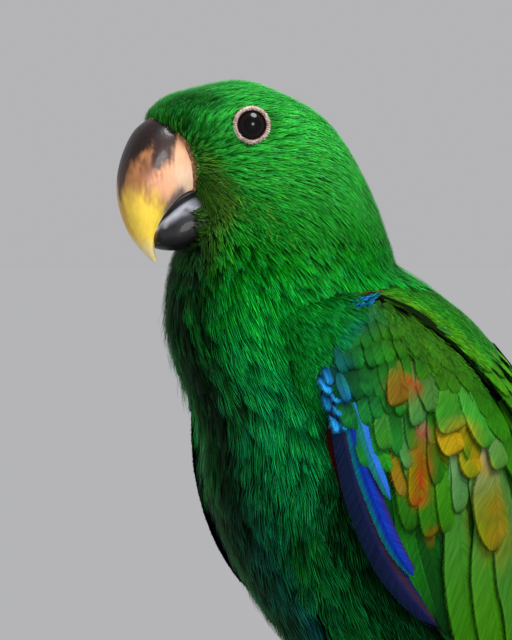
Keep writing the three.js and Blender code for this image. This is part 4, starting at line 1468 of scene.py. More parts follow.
@dataclass
class Vanes:
    """Many vanes of one wing or tail, with the barbs that stand out at their edges."""

    lay: Callable[[Array, Array, Array, Array], Array]
    span: tuple[float, float, float, float]
    mirror: bool = False
    along: int = 12
    seed: int = 1
    slope: Optional[Callable[[Array, Array], Array]] = None
    per_mm: float = 1.2  # how far the place across the form moves for a millimetre
    feathers: list[Vane] = field(default_factory=list)

    # Where a vane's points are beside its shaft.
    ACROSS = (-1, -0.93, -0.7, -0.38, -0.1, 0, 0.1, 0.38, 0.7, 0.93, 1)
    PATCH = 0.0014  # size of a vane on the unwrap
    SHAFT = 0.28  # mm that the shaft stands out at its root
    DROOP = 0.5  # mm that a tip bends down
    BARB = 0.42  # mm between two loose barbs at a vane's edge

    def add(self, path: Rows, half: float, rise: Sequence[float], dress: Dress = Dress.GREEN, **kind) -> None:
        """Adds one vane, with the fields of Vane."""
        self.feathers.append(Vane(path, half, rise, dress, **kind))

    def run(self, start: Array, length: float) -> list[tuple[float, float]]:
        """Follows the lie of the feathers from a root, for a length in millimetres."""
        path = [tuple(start)]
        for _ in range(5):
            t, degrees = path[-1]
            path.append((t + length / 5, degrees + float(self.slope(t, degrees)) * length / 5))
        return path

    def row(
        self, count: int, root: Rows, length: Sequence[float], half: Sequence[float], rise: Rows, loose: float
    ) -> None:
        """Adds a row of feathers that follow the lie, spread evenly between its first and its last.

        Args:
            count: How many.
            root: Places of the first and the last root.
            length: Length of the first and the last.
            half: Half width of the first and the last.
            rise: Heights of root and tip of the first, then of the last.
            loose: How far places stray, in millimetres.
        """
        draw = np.random.default_rng(self.seed + len(self.feathers))
        ends = [np.array(v, float) for v in (root, length, half, rise)]
        for k in np.linspace(0, 1, count):
            start, long, wide, levels = (mix(v[0], v[1], k) for v in ends)
            path = self.run(start + draw.normal(0, loose, 2), float(long) * math.exp(draw.normal(0, 0.05)))
            tone = math.exp(draw.normal(0, 0.13))
            self.add(path, float(wide), tuple(levels + draw.normal(0, 0.08)), tone=tone)

    def tier(
        self, count: int, root: Rows, tip: Rows, reach: float, half: Sequence[float], rise: Rows,
        loose: float, **kind,
    ) -> None:
        """Adds a row of feathers between given roots and tips, spread evenly between its first and its last.

        Args:
            count: How many.
            root: Places of the first and the last root.
            tip: Places of the first and the last tip.
            reach: Millimetres that the row's middle tips go further.
            half: Half width of the first and the last.
            rise: Heights of root and tip of the first, then of the last.
            loose: How far places stray, in millimetres.
            **kind: Other fields of the vanes.
        """
        draw = np.random.default_rng(self.seed + len(self.feathers))
        ends = [np.array(v, float) for v in (root, tip, half, rise)]
        for k in np.linspace(0, 1, count):
            start, end, wide, levels = (mix(v[0], v[1], k) for v in ends)
            end = end + (reach * math.sin(math.pi * min(1.0, k * 0.9 + 0.1)), 0)
            stray = draw.normal(0, loose, 2)
            middle = mix(start, end, 0.5) + (0, stray[1] * 0.5)
            levels = levels + draw.normal(0, 0.08)
            tone = math.exp(draw.normal(0, 0.17))
            self.add([start, middle, end + stray], float(wide), levels, tone=tone, **kind)

    @staticmethod
    def dressed(vane: Vane, u: Array, v: Array, a: Array, b: Array, points: Array) -> Array:
        """Colours a vane.

        Args:
            vane: The vane.
            u: Share along it.
            v: Side of the shaft, from -1 to 1.
            a: Place along the form.
            b: Place across the form.
            points: The places in space.

        Returns:
            Linear colours.
        """
        edge, shaft = ease(np.abs(v), 0.6, 1.0), 1 - ease(np.abs(v), 0.0, 0.10)
        # The rim is painted shadow: it darkens each vane's outline and tip.
        rim = ease(np.maximum(np.abs(v), u), 0.94, 1.0)
        if vane.dress is Dress.GREEN:
            own = through([dye(code) for code in vane.shades], u * 2) if vane.shades else None
            base = WING_COLOURS.at(a, b, points, own) * vane.tone
            # Painted shade: a vane without its own colours goes darker towards its covered root.
            if own is None:
                base = shaded(base, 0.5, 1 - ease(u, 0.25, 0.8))
            return shaded(shaded(shaded(base, 1.25, edge), 0.4, rim), 0.75, shaft * 0.6)
        if vane.dress is Dress.NAVY:
            base = paint(dye("#101C38"), "#1A1C4A", ease(v + u * 0.8, -0.2, 1.0))
            return paint(base, "#3A2418", (1 - ease(np.abs(v - 0.35), 0.03, 0.12)) * 0.8)
        if vane.dress is Dress.BLUE:
            base = paint(dye("#0A6A7A"), "#0C2E98", ease(v, -0.8, -0.3))
            base = paint(base, "#141838", (1 - ease(u, 0.2, 0.6)) * ease(v, -0.2, 0.6))
            return paint(base, "#30183A", ease(v, 0.4, 0.9) * 0.7)
        if vane.dress is Dress.TURQUOISE:
            return paint(dye("#1A7A6C"), "#2660B8", ease(v + 0.5 * u, -0.2, 0.6))
        if vane.dress is Dress.RED:
            return paint(dye("#2E0605"), "#120303", edge * 0.7)
        if vane.dress is Dress.BLOB:
            # Painted light: lighter to one side of the shaft. Painted shadow: darker on the rim.
            base = paint(dye("#041426"), "#0C5890", ease(u + 0.15 * v, 0.1, 0.4))
            base = paint(base, "#2088C4", ease(u - 0.3 * v, 0.4, 0.9))
            return shaded(base, 0.4, rim) * vane.tone
        tip = ease(u, 0.955, 0.99)
        if vane.dress is Dress.TAIL:
            base = paint(dye("#1C7A22"), "#12306E", ease(np.abs(b) + np.abs(v) * 4, 12, 24) * 0.9)
            base = paint(paint(base, "#101C34", ease(u, 0.72, 0.9) * 0.6), "#B8B45A", tip)
            return mix(base * vane.tone, base * 0.6, shaft[..., None] * 0.6)
        return paint(paint(dye("#23241F"), "#3A4A26", edge * 0.6), "#A8A45A", tip)

    def laid(self, vane: Vane, u: Array, v: Array, out: Array = 0.0, lift: Array = 0.0) -> tuple[Array, ...]:
        """Lays points of a vane.

        Args:
            vane: The vane.
            u: Share along it.
            v: Side of its shaft, from -1 to 1.
            out: Millimetres beyond the edge.
            lift: Extra height.

        Returns:
            Points, colours, pattern and places on the unwrap.
        """
        path = np.array(vane.path, float)
        a, b = np.moveaxis(through(path, u * (len(path) - 1)), -1, 0)
        rounding = np.sqrt(np.clip(1 - np.clip((u - vane.blunt) / (1 - vane.blunt), 0, 1) ** 2, 0, 1))
        width = vane.half * np.minimum(1, vane.narrow + 1.3 * u) * rounding
        side = v * width + np.sign(v) * out
        shaft = self.SHAFT * np.exp(-((v / 0.07) ** 2)) * (1 - 0.7 * u)
        height = mix(vane.rise[0], vane.rise[1], u) + lift + vane.camber * (1 - v * v) * rounding
        height = height - vane.tilt * v * width - self.DROOP * ease(u, 0.85, 1.0) + shaft
        points = self.lay(a, b, side, height)
        colours = self.dressed(vane, u, v, a, b + side * self.per_mm, points)
        barb = u * abs(path[-1][0] - path[0][0]) - 1.1 * np.abs(v) * vane.half + np.where(v > 0, 3.1, 0)
        low_a, high_a, low_b, high_b = self.span
        centre = unwrapped((path[0][0] - low_a) / (high_a - low_a), (path[0][1] - low_b) / (high_b - low_b))
        return points, colours, barb, centre + np.stack([v, u * 2 - 1], -1) * self.PATCH

    def strands(self, vane: Vane, draw: np.random.Generator) -> tuple[Array, ...]:
        """Barbs that stand out at one vane's edges.

        Args:
            vane: The vane.
            draw: The source of random numbers.

        Returns:
            Points, colours, pattern and places on the unwrap, three points to a barb.
        """
        length = abs(vane.path[-1][0] - vane.path[0][0])
        half = int(max(12, (length * 2 + vane.half * 2) / self.BARB)) // 2
        u = np.tile(np.linspace(0.22, 0.995, half), 2)
        u = np.clip(u + draw.normal(0, 0.01, len(u)), 0.2, 0.999)
        reach = vane.fringe * (0.5 + draw.random(len(u)))
        wide = 0.16 / max(length, 1)
        inner = np.stack([u - wide, u + wide, np.minimum(u + reach * 1.1 / max(length, 1), 1.02)], 1)
        beyond = np.stack([0 * u - 0.3, 0 * u - 0.3, reach * 0.75], 1)
        lift = np.stack([0 * u + 0.02, 0 * u + 0.02, draw.normal(0.05, 0.1, len(u))], 1)
        sides = np.repeat([[-1.0] * 3, [1.0] * 3], half, 0)
        points, colours, barb, patches = self.laid(vane, inner, sides, beyond, lift)
        tint = np.exp(draw.normal(0, 0.25, len(u)))[:, None, None]
        return points, colours * tint * (1.0, 1.0, 0.9), barb, patches

    def build(self, name: str, finish: Finish, slot: str, stands_for: Iterable[str] = ()) -> Piece:
        """Makes all vanes and their fringes as one piece.

        Args:
            name: The piece's name.
            finish: Its material.
            slot: A material slot; not used.
            stands_for: CAD nodes that it replaces.

        Returns:
            The piece.
        """
        draw = np.random.default_rng(self.seed)
        u, v = np.meshgrid(np.linspace(0, 1, self.along + 1) ** 0.9, self.ACROSS, indexing="ij")
        grid = np.arange(u.size).reshape(u.shape)
        cells = np.stack([grid[:-1, :-1], grid[1:, :-1], grid[1:, 1:], grid[:-1, 1:]], -1).reshape(-1, 4)
        parts: list[list[Array]] = [[], [], [], []]
        quads, triangles, base = [], [], 0
        for feather in self.feathers:
            sheet, fringe = self.laid(feather, u, v), self.strands(feather, draw)
            quads.append(cells + base)
            base += u.size
            ends = np.arange(len(fringe[0]) * 3).reshape(-1, 3)
            half = len(ends) // 2
            ends[:half] = ends[:half, ::-1]
            triangles.append(ends + base)
            base += ends.size
            for kept, one, two in zip(parts, sheet, fringe):
                kept += [one.reshape(u.size, -1), two.reshape(ends.size, -1)]
        points, colours, barbs, patches = (np.concatenate(p) for p in parts)
        faces = [np.concatenate(triangles), np.concatenate(quads)]
        mesh = joined(name, points, faces, colours, barbs[:, 0], patches, self.mirror)
        return seat(name, mesh, finish, stands_for)


# Feathers of the wing that the photograph shows one by one: path, half width, heights, bluntness and
# colours from root to tip.
HAND_LAID = (
    (((62, 92.9), (84, 85.4), (107, 77.2), (130, 72), (150, 74), (166, 80)), 6.4, (1.5, 3.0), 0.88,
     ("#3A6E34", "#2E6E06", "#265E04")),
    (((68.5, 97.1), (94, 89.5), (111, 84.6), (135, 79), (155, 81), (172, 87)), 7.0, (1.6, 3.1), 0.88,
     ("#427434", "#347208", "#2A6404")),
    (((78, 101), (109.5, 92.4), (136, 87), (158, 89), (177, 94)), 7.2, (1.7, 3.2), 0.88,
     ("#3A6A30", "#2E6A08", "#285E04")),
    (((72.6, 68.4), (94.9, 63.6), (112, 62.2)), 2.2, (1.2, 2.2), 0.6, ("#145A10", "#1A720E", "#0C500C")),
    (((73.8, 71.4), (96, 66.5), (116, 64)), 2.5, (1.2, 2.3), 0.6, ("#0F460C", "#166010", "#083C0A")),
    (((75.4, 75.5), (97.2, 70.2), (121, 65.5)), 3.0, (1.1, 2.2), 0.7, ("#0A360A", "#0A3C0A", "#052407")),
    (((52, 79), (68, 74.4), (87.4, 68.2)), 4.2, (1.2, 3.0), 0.6, ("#2A620C", "#266408", "#1C5408")),
    (((58, 86), (75, 79.5), (91.6, 73.2)), 4.4, (1.2, 3.0), 0.6, ("#34620C", "#266408", "#265C08")),
    (((56, 91), (76, 84.5), (93, 78.8)), 4.0, (1.2, 2.9), 0.6, ("#467022", "#30700E", "#286408")),
    (((62, 92), (78, 87.9), (88.4, 84.4)), 3.4, (1.3, 3.0), 0.6, ("#587450", "#487440", "#3C6C2C")),
    (((67.5, 103), (88, 93.6), (104.4, 89.2)), 6.8, (1.5, 3.7), 0.6, ("#706A68", "#606E22", "#64640C")),
    (((54, 76), (66.9, 72.4), (76.4, 70.8)), 2.9, (1.3, 3.2), 0.5, ("#3E6E10", "#7E6006", "#6E601C")),
    (((46, 90), (63, 81.6), (80.4, 72.8)), 4.2, (1.3, 3.5), 0.62, ("#6E6062", "#6A680E", "#7A6C0C")),
    (((62, 96), (72, 92.9), (79.8, 91.3)), 3.9, (1.5, 3.6), 0.5, ("#50701A", "#6E6E0C", "#646E0C")),
    (((50, 94.5), (62, 91), (69.2, 89.6)), 5.8, (1.6, 3.8), 0.7, ("#7E7A10", "#947C0A", "#8A780C")),
    (((62, 108), (73.8, 103), (81.4, 99.3)), 5.4, (1.6, 3.9), 0.6, ("#5E6E50", "#466E32", "#426E24")),
    (((40, 68.5), (56.6, 68.4), (66.8, 69)), 2.4, (1.3, 3.0), 0.5, ("#2A6E16", "#2A7C10", "#1A7A1E")),
    (((46, 82), (59.9, 77.8), (68, 75.9)), 3.3, (1.4, 3.5), 0.4, ("#426038", "#386E32", "#427C40")),
    (((42, 75.5), (52, 72.6), (59.2, 71)), 3.6, (1.5, 3.5), 0.55, ("#346034", "#2A6E1C", "#2A641C")),
    (((44, 103), (60, 101), (72.2, 98.7)), 5.4, (1.6, 3.9), 0.5, ("#346E24", "#2A7C22", "#2A6E1A")),
    (((42, 98.5), (54, 94.6), (61.6, 92.2)), 6.4, (1.6, 4.0), 0.65, ("#346E16", "#2A6E1A", "#346E24")),
    (((33, 93.5), (45, 90.4), (51.6, 88.3)), 4.4, (1.5, 3.9), 0.5, ("#2E4A22", "#366026", "#346426")),
    (((32, 90), (45, 86.6), (54.8, 82.7)), 3.8, (1.5, 3.7), 0.5, ("#506032", "#426E32", "#346E32")),
    (((30, 86.6), (38.5, 83.2), (45.4, 80)), 4.6, (1.6, 3.8), 0.65, ("#3C5A14", "#6A520E", "#5E500E")),
    (((28, 64.6), (33, 64), (39.2, 63.3)), 1.6, (2.0, 3.6), 0.5, ("#0E4444", "#125C66", "#12568A")),
)


@dataclass
class Wing:
    """A folded wing: a thin fleshy plate under tiers of feathers. The right one is drawn mirrored."""

    side: int
    shoulder: float
    forearm: float

    # Where the plate is read along the wing, its front and its rear edge in degrees, and its thickness.
    T = (2, 12, 24, 42, 62, 85, 108, 130, 148)
    LEAD = (76, 69, 59, 55, 54, 53, 57, 66, 84)
    TRAIL = (91.5, 102.5, 109.5, 124, 150, 165, 168, 166, 150)
    THICK = (0.9, 1.4, 1.7, 1.7, 1.6, 1.4, 1.2, 1.0, 0.7)
    # Count, first and last root, lengths, half widths, heights and looseness, as Vanes.row takes them.
    COVERTS = (
        (7, ((60, 118), (54, 152)), (44, 46), (6.2, 6.8), ((1.2, 3.0), (1.6, 3.2)), 0.9),
        (4, ((60, 92), (56, 108)), (38, 42), (5.2, 5.8), ((1.3, 2.8), (1.6, 3.2)), 0.9),
        (4, ((50, 84), (48, 107)), (26, 28), (4.2, 4.8), ((1.2, 3.0), (1.4, 3.2)), 0.8),
        (7, ((42, 68), (41, 106)), (20, 24), (3.4, 4.0), ((1.2, 2.9), (1.4, 3.0)), 0.7),
        (11, ((33, 64), (32, 105.5)), (16.5, 18), (2.6, 3.1), ((1.2, 2.8), (1.3, 2.8)), 0.5),
        (11, ((24, 66), (24, 103)), (15.5, 16.5), (2.4, 2.9), ((1.1, 2.7), (1.2, 2.6)), 0.5),
        (9, ((15, 71), (16, 100)), (15, 16), (2.2, 2.7), ((1.0, 2.6), (1.0, 2.4)), 0.5),
        (6, ((7, 78), (8, 96)), (14.5, 15), (2.0, 2.5), ((0.9, 2.4), (0.8, 2.2)), 0.5),
        (4, ((-1, 83), (1, 91)), (14, 14), (1.9, 2.3), ((0.5, 2.1), (0.4, 1.9)), 0.5),
    )
    # Place along and round the form, half width and length of each blue feather at the bend.
    BEND = (
        (42, 59.8, 1.4, 7), (40, 57.0, 1.5, 9), (36, 59.4, 2.1, 8), (33, 56.8, 1.4, 8), (31, 61.2, 2.0, 8),
        (27, 58.4, 1.8, 8), (24, 61.6, 1.6, 8),
    )

    def __post_init__(self) -> None:
        """Finds the form that this wing lies on, and its name."""
        self.form = WingForm(WING_ROWS, 23.0, self.shoulder, self.forearm)
        self.name = "left" if self.side > 0 else "right"

    def plate(self) -> Shell:
        """The fleshy wing under its feathers, as a closed shell."""
        place, angle = rings(0, len(self.T) - 1, 60, 64)
        t, lead, trail, thick = (through(v, place) for v in (self.T, self.LEAD, self.TRAIL, self.THICK))
        degrees = (lead + trail) / 2 + (trail - lead) / 2 * np.cos(angle)
        height = 0.1 + 0.5 * thick * power(np.sin(angle), 2.6)
        points = self.form.point(t, np.radians(degrees), height) * (self.side, 1, 1)
        # Painted shade: near black, for the depth under the feathers and the gap along the back.
        return wrap_grid(points, np.broadcast_to(dye("#020703"), points.shape), ends=True)

    def tiers(self, vanes: Vanes) -> None:
        """Adds the rows of feathers, lowest first."""
        long = {"blunt": 0.88, "fringe": 0.5}
        rise = ((0.5, 0.3), (0.5, 1.5))
        vanes.tier(9, ((62, 58), (66, 84)), ((214, 92), (206, 128)), 36, (6.4, 7.4), rise, 0.6, **long)
        rise = ((1.0, 0.9), (2.6, 3.6))
        vanes.tier(9, ((70, 108), (44, 157)), ((176, 96), (166, 166)), 4, (7.0, 8.4), rise, 1.0, **long)
        for row in self.COVERTS:
            vanes.row(*row)
        vanes.feathers = [f for f in vanes.feathers if not self.hides_quills(*f.path[-1])]
        self.blades(vanes)
        for path, half, rise, blunt, shades in HAND_LAID:
            vanes.add(path, half, rise, blunt=blunt, shades=shades)
        self.scapulars(vanes)
        self.gap(vanes)

    @staticmethod
    def hides_quills(along: float, degrees: float) -> bool:
        """Whether a covert that ends here would lie over the open bases of the inner flight feathers."""
        return 84 < along < 126 and degrees < 104

    def scapulars(self, vanes: Vanes) -> None:
        """Adds the long feathers of the back that lie over the wing's upper edge."""
        form, draw = self.form, np.random.default_rng(17)
        # Their roots are dark: partly their own colour, partly painted shade where each lies covered.
        shades = ("#122C06", "#246408", "#3C7A0A")
        for column in range(4, -1, -1):
            off = 4.2 + 9.5 * column
            for k in range(5, -1, -1):
                t = 9 + 12.5 * k + (column % 2) * 6 + draw.normal(0, 1)
                start = form.parting(t) + off
                turn = (form.parting(t + 24) - form.parting(t)) * (1 - column / 5)
                path = ((t, start), (t + 12, start + turn * 0.5), (t + 25, start + turn * 0.9))
                rise = (form.crest(t, off) - 1.9, form.crest(t + 25, off) + 0.1)
                tone = math.exp(draw.normal(0, 0.28))
                vanes.add(path, 2.8 + 0.3 * column, rise, shades=shades, tone=tone, blunt=0.4)

    @staticmethod
    def gap(vanes: Vanes) -> None:
        """Adds the gap between wing and back as a painted shadow, with the bright line and rusty barbs along
        it.
        """
        hollow = ((1.5, 91), (7, 95.8), (14, 102), (22, 105.4), (31, 108.6), (42, 111.4), (54, 113))
        # The near-black vane is painted shadow, under the lip of the back's feathers.
        dark = {"shades": ("#010201", "#010101", "#010201"), "fringe": 0.1, "blunt": 0.8}
        vanes.add(hollow, 1.3, (1.6, 3.4), camber=0.1, tilt=0.0, narrow=0.4, **dark)
        line, shades = ((23, 107.6), (31, 110), (38, 111.6), (48, 113.4)), ("#1E8A70", "#38A8B8", "#1E7A60")
        vanes.add(line, 0.34, (2.5, 3.4), shades=shades, fringe=0.2, blunt=0.3)
        rust = ((0.8, 86.5), (1.2, 89.8), (2.2, 93.5))
        for k in range(3):
            path = [(t + 0.4 * k, degrees + 1.4 * k) for t, degrees in rust]
            vanes.add(path, 0.5, (1.5, 2.6), shades=("#2A0A06", "#6A1C08", "#7A2E0A"), blunt=0.4, fringe=0.5)

    def blades(self, vanes: Vanes) -> None:
        """Adds the blue feathers along the wing's front edge, and the red ones under them."""
        for k in range(3 if self.side > 0 else 0):
            path = ((44 + 9 * k, 54.6), (54 + 9 * k, 52.8), (64 + 9 * k, 52))
            vanes.add(path, 2.0, (0.0, 0.5), Dress.RED, fringe=1.1, tilt=0.0)
        plain = {"fringe": 0.22, "tilt": 0.05, "camber": 0.7}
        lowest = ((34, 58.5), (48.9, 57.2), (70.4, 55.6), (87, 55.2), (101, 57.2), (117, 63))
        middle = ((38, 61.6), (48.2, 61.2), (63, 60.4), (72, 60.3), (88.6, 60.4), (100, 62.6))
        highest = ((40, 65), (47.3, 64.8), (57, 64.4), (64.2, 64.8), (75, 65.3))
        vanes.add(lowest, 4.0, (1.2, 2.6), Dress.NAVY, blunt=0.7, **plain)
        vanes.add(middle, 2.5, (1.6, 3.1), Dress.BLUE, blunt=0.7, **plain)
        vanes.add(highest, 2.2, (1.8, 3.3), Dress.TURQUOISE, blunt=0.4, **plain)
        for k, (a, b, size, long) in enumerate(self.BEND):
            turn, tone = 1.1 + 0.9 * math.sin(2.3 * k), 0.9 + 0.35 * math.sin(1.7 * k)
            path = ((a, b), (a + 0.45 * long, b - 0.4 * turn), (a + long, b - turn))
            loose = {"fringe": 1.2, "blunt": 0.12, "camber": 0.15, "narrow": 0.7, "tone": tone}
            vanes.add(path, size, (0.7, 3.0), Dress.BLOB, **loose)

    def strands(
        self, name: str, finish: Finish, roots: tuple[Array, Array], slopes: Array, sizes: Sequence[Array],
        colours: Array, height: Callable, onward: float = 1.0, **kind,
    ) -> None:
        """Makes one piece of loose strands on the wing.

        Args:
            name: The piece's name, without its side.
            finish: The material of the barbs.
            roots: Where the roots are along and round the form.
            slopes: Degrees that each turns for a millimetre.
            sizes: Length, half width and depth of each.
            colours: Their colours.
            height: Gives the height of their undersides.
            onward: Millimetres that they go along for a millimetre.
            **kind: Other fields of the tufts.
        """
        t, degrees = roots
        points, _, normals = self.form.axes(t, np.radians(degrees), height(t, degrees))
        patches = unwrapped((t + 12) / 220, (degrees - 40) / 130)
        sizes = (np.broadcast_to(v, t.shape) for v in sizes)
        tufts = Tufts(points, normals, normals, *sizes, colours, patches, mirror=self.side < 0, **kind)
        tufts.laid_along(self.form, t, degrees, slopes, height, onward)
        tufts.build(f"{name}_strands_{self.name}", finish, "wing_feather")

    def mantle(self, finish: Finish) -> None:
        """Makes the back's strands above the gap, which stand up along it like a lip."""
        form, draw, count = self.form, np.random.default_rng(42), 1100
        t = draw.uniform(1, 36, count)
        off = 0.9 + draw.random(count) ** 1.3 * (44 - 0.4 * t)
        keep = off < 8 + 4 * np.clip(t, 0, 40)
        t, off = t[keep], off[keep]
        slope = (form.parting(t + 4) - form.parting(t - 2)) / 6
        slopes = slope * (1 - ease(off, 4, 30)) + draw.normal(0, 0.09, len(t))
        ground = paint(dye("#1E6A0C"), "#3C7A0C", ease(off, 10, 0))
        colours = ground * np.exp(draw.normal(0, 0.2, len(t)))[:, None]
        sizes = (draw.uniform(9, 13, len(t)), 1.2, 1.1)
        self.strands(
            "mantle", finish, (t, form.parting(t) + off), slopes, sizes, colours,
            lambda a, b: form.crest(a, b - form.parting(a)) - 1.0, barbs=6, width=0.26, seed=70,
        )

    def upper_arm(self, finish: Finish) -> None:
        """Makes the olive strands below the gap."""
        form, draw, count = self.form, np.random.default_rng(41), 900
        t = draw.uniform(2, 50, count)
        degrees = mix(88 + 0.13 * t, form.parting(t) - 3.2, draw.random(count) ** 0.8)
        slopes = form.slope(t, degrees) * 0.6 + 0.1 + draw.normal(0, 0.07, count)
        colours = WING_COLOURS.at(t, degrees, form.point(t, np.radians(degrees)))
        colours = colours * np.exp(draw.normal(0, 0.16, count))[:, None]
        self.strands(
            "shoulder", finish, (t, degrees), slopes, (draw.uniform(7, 10.5, count), 0.9, 1.3), colours,
            lambda a, b: np.interp(a, (0, 12, 30), (0.4, 0.9, 1.3)), barbs=5, width=0.24, seed=71,
        )

    def front(self, finish: Finish) -> None:
        """Makes the breast's feathers that lie over the wing's front edge."""
        draw, count = np.random.default_rng(43), 340
        t = draw.uniform(-2, 32, count)
        front = np.interp(t, (-14, -4, 3, 10, 15, 21, 28, 34), (92, 88, 82, 76, 71, 65, 60, 57))
        degrees = mix(46, front - 1, draw.random(count) ** 0.75)
        slopes = np.interp(t, (0, 30), (0.55, 0.1)) + draw.normal(0, 0.12, count)
        points = self.form.point(t, np.radians(degrees))
        colours = BODY_COLOURS.at(9.0 + t / 40, np.full(count, 62.0), points)
        blue = ease(degrees - front, -8, 0) * draw.random(count) * 0.6 * ease(t, 0, 8)
        self.strands(
            "front", finish, (t, degrees), slopes, (draw.uniform(8, 12, count), 1.5, 1.9),
            paint(colours, "#0C6070", blue) * 0.7,
            lambda a, b: mix(-0.9, 1.2, ease(b, 52, 84)) - 2.0 * (1 - ease(a, -4, 6)),
            barbs=7, width=0.24, seed=72, stray=0.2, sheen=0.3, veil=0.3,
        )

    def wrist(self, finish: Finish) -> None:
        """Makes the blue wisps at the wing's wrist."""
        draw, count = np.random.default_rng(44), 46
        t = draw.uniform(4.5, 8.5, count)
        degrees = 79 + 7 * draw.random(count) + draw.normal(0, 0.6, count)
        kind = draw.random((count, 1))
        colours = np.where(kind < 0.35, dye("#1260A8"), np.where(kind < 0.7, dye("#08244E"), dye("#0A5460")))
        sizes = (draw.uniform(3, 6.5, count), 0.3, draw.uniform(0.7, 1.3, count))
        slopes = draw.normal(1.15, 0.15, count)
        self.strands(
            "wrist", finish, (t, degrees), slopes, sizes, colours, lambda a, b: 2.2 + 0 * a, -0.28,
            barbs=4, width=0.17, seed=73, stray=0.3, patchy=0.4, sheen=0.4,
        )

    def build(self, skin: Finish, keratin: Finish, barbs: Finish) -> None:
        """Makes the wing.

        Args:
            skin: The material of the plate.
            keratin: The material of the closed feathers.
            barbs: The material of the loose ones.
        """
        settle(f"wing_plate_{self.name}", self.plate(), skin, (f"wing_{self.name}",))
        vanes = Vanes(self.form.lay, (0, 220, 45, 175), self.side < 0, seed=11, slope=self.form.slope)
        self.tiers(vanes)
        vanes.build(f"wing_feathers_{self.name}", keratin, "wing_feather")
        for strands in (self.upper_arm, self.mantle, self.front, self.wrist):
            strands(barbs)


@dataclass
class Tail:
    """Eleven tail feathers that spread from the rump, with coverts over and under their roots."""

    root: tuple[float, float, float] = (0.0, 50.0, 126.0)
    pitch: float = math.radians(61)
    length: float = 118.0
    fan: float = 20.0
    half: float = 8.5
    pairs: int = 5

    # How far a row of coverts reaches, its height and how far its roots lie lower.
    OVER = ((34, 2.4, 0.2), (24, 3.4, 0.8), (15, 4.4, 1.4))
    # How far a row reaches, and the heights of its roots and tips.
    UNDER = ((52, -4.2, -2.6), (38, -5.6, -4.2), (24, -6.6, -5.4))

    def lay(self, along: Array, across: Array, side: Array, height: Array) -> Array:
        """Finds points of a tail feather.

        Args:
            along: Millimetres from the tail's root.
            across: Where the shaft is, to the bird's left.
            side: Distance from the shaft.
            height: Height over the tail's middle.

        Returns:
            Places in millimetres.
        """
        x, y, z = self.root
        wide = across + side
        up = height - 0.0016 * wide * wide
        cos, sin = math.cos(self.pitch), math.sin(self.pitch)
        return np.stack([x + wide, y + along * cos + up * sin, z - along * sin + up * cos], -1)

    def build(self, finish: Finish) -> None:
        """Makes the tail.

        Args:
            finish: The material of the feathers.
        """
        vanes = Vanes(self.lay, (-10, 120, -30, 30), seed=31, along=16, per_mm=1.0)
        kind = {"blunt": 0.88, "fringe": 0.5, "tilt": 0.03, "camber": 0.4}
        for i in range(-self.pairs, self.pairs + 1):
            k = i / self.pairs
            low = -abs(k) * 3.2
            middle = (self.length * 0.5, k * (5.5 + self.fan) / 2)
            path = ((-2.0, k * 5.5), middle, (self.length - abs(k) * 7, k * self.fan))
            vanes.add(path, self.half, (low, low), Dress.TAIL, tone=1 + 0.06 * math.sin(i * 2.3), **kind)
            vanes.add(path, self.half * 0.97, (low - 1.1, low - 0.9), Dress.TAIL_UNDER, **kind)
        for reach, level, lift in self.OVER:
            for k in np.linspace(-1, 1, 7):
                path = ((-6.0, k * 7), (reach * 0.5, k * 9), (reach - abs(k) * 6, k * 11))
                vanes.add(path, 5.0, (level - lift - abs(k) * 1.5, level - 0.8 - abs(k) * 1.2), tone=0.8)
        for reach, *rise in self.UNDER:
            for k in np.linspace(-1, 1, 6):
                path = ((-4.0, k * 7), (reach * 0.5, k * 9), (reach - abs(k) * 6, k * 11))
                vanes.add(path, 5.4, rise, tone=0.55, camber=-0.5, tilt=0.0)
        vanes.build("tail_feathers", finish, "tail_feather", ("tail",))


# Beak, cere, mouth and eyes


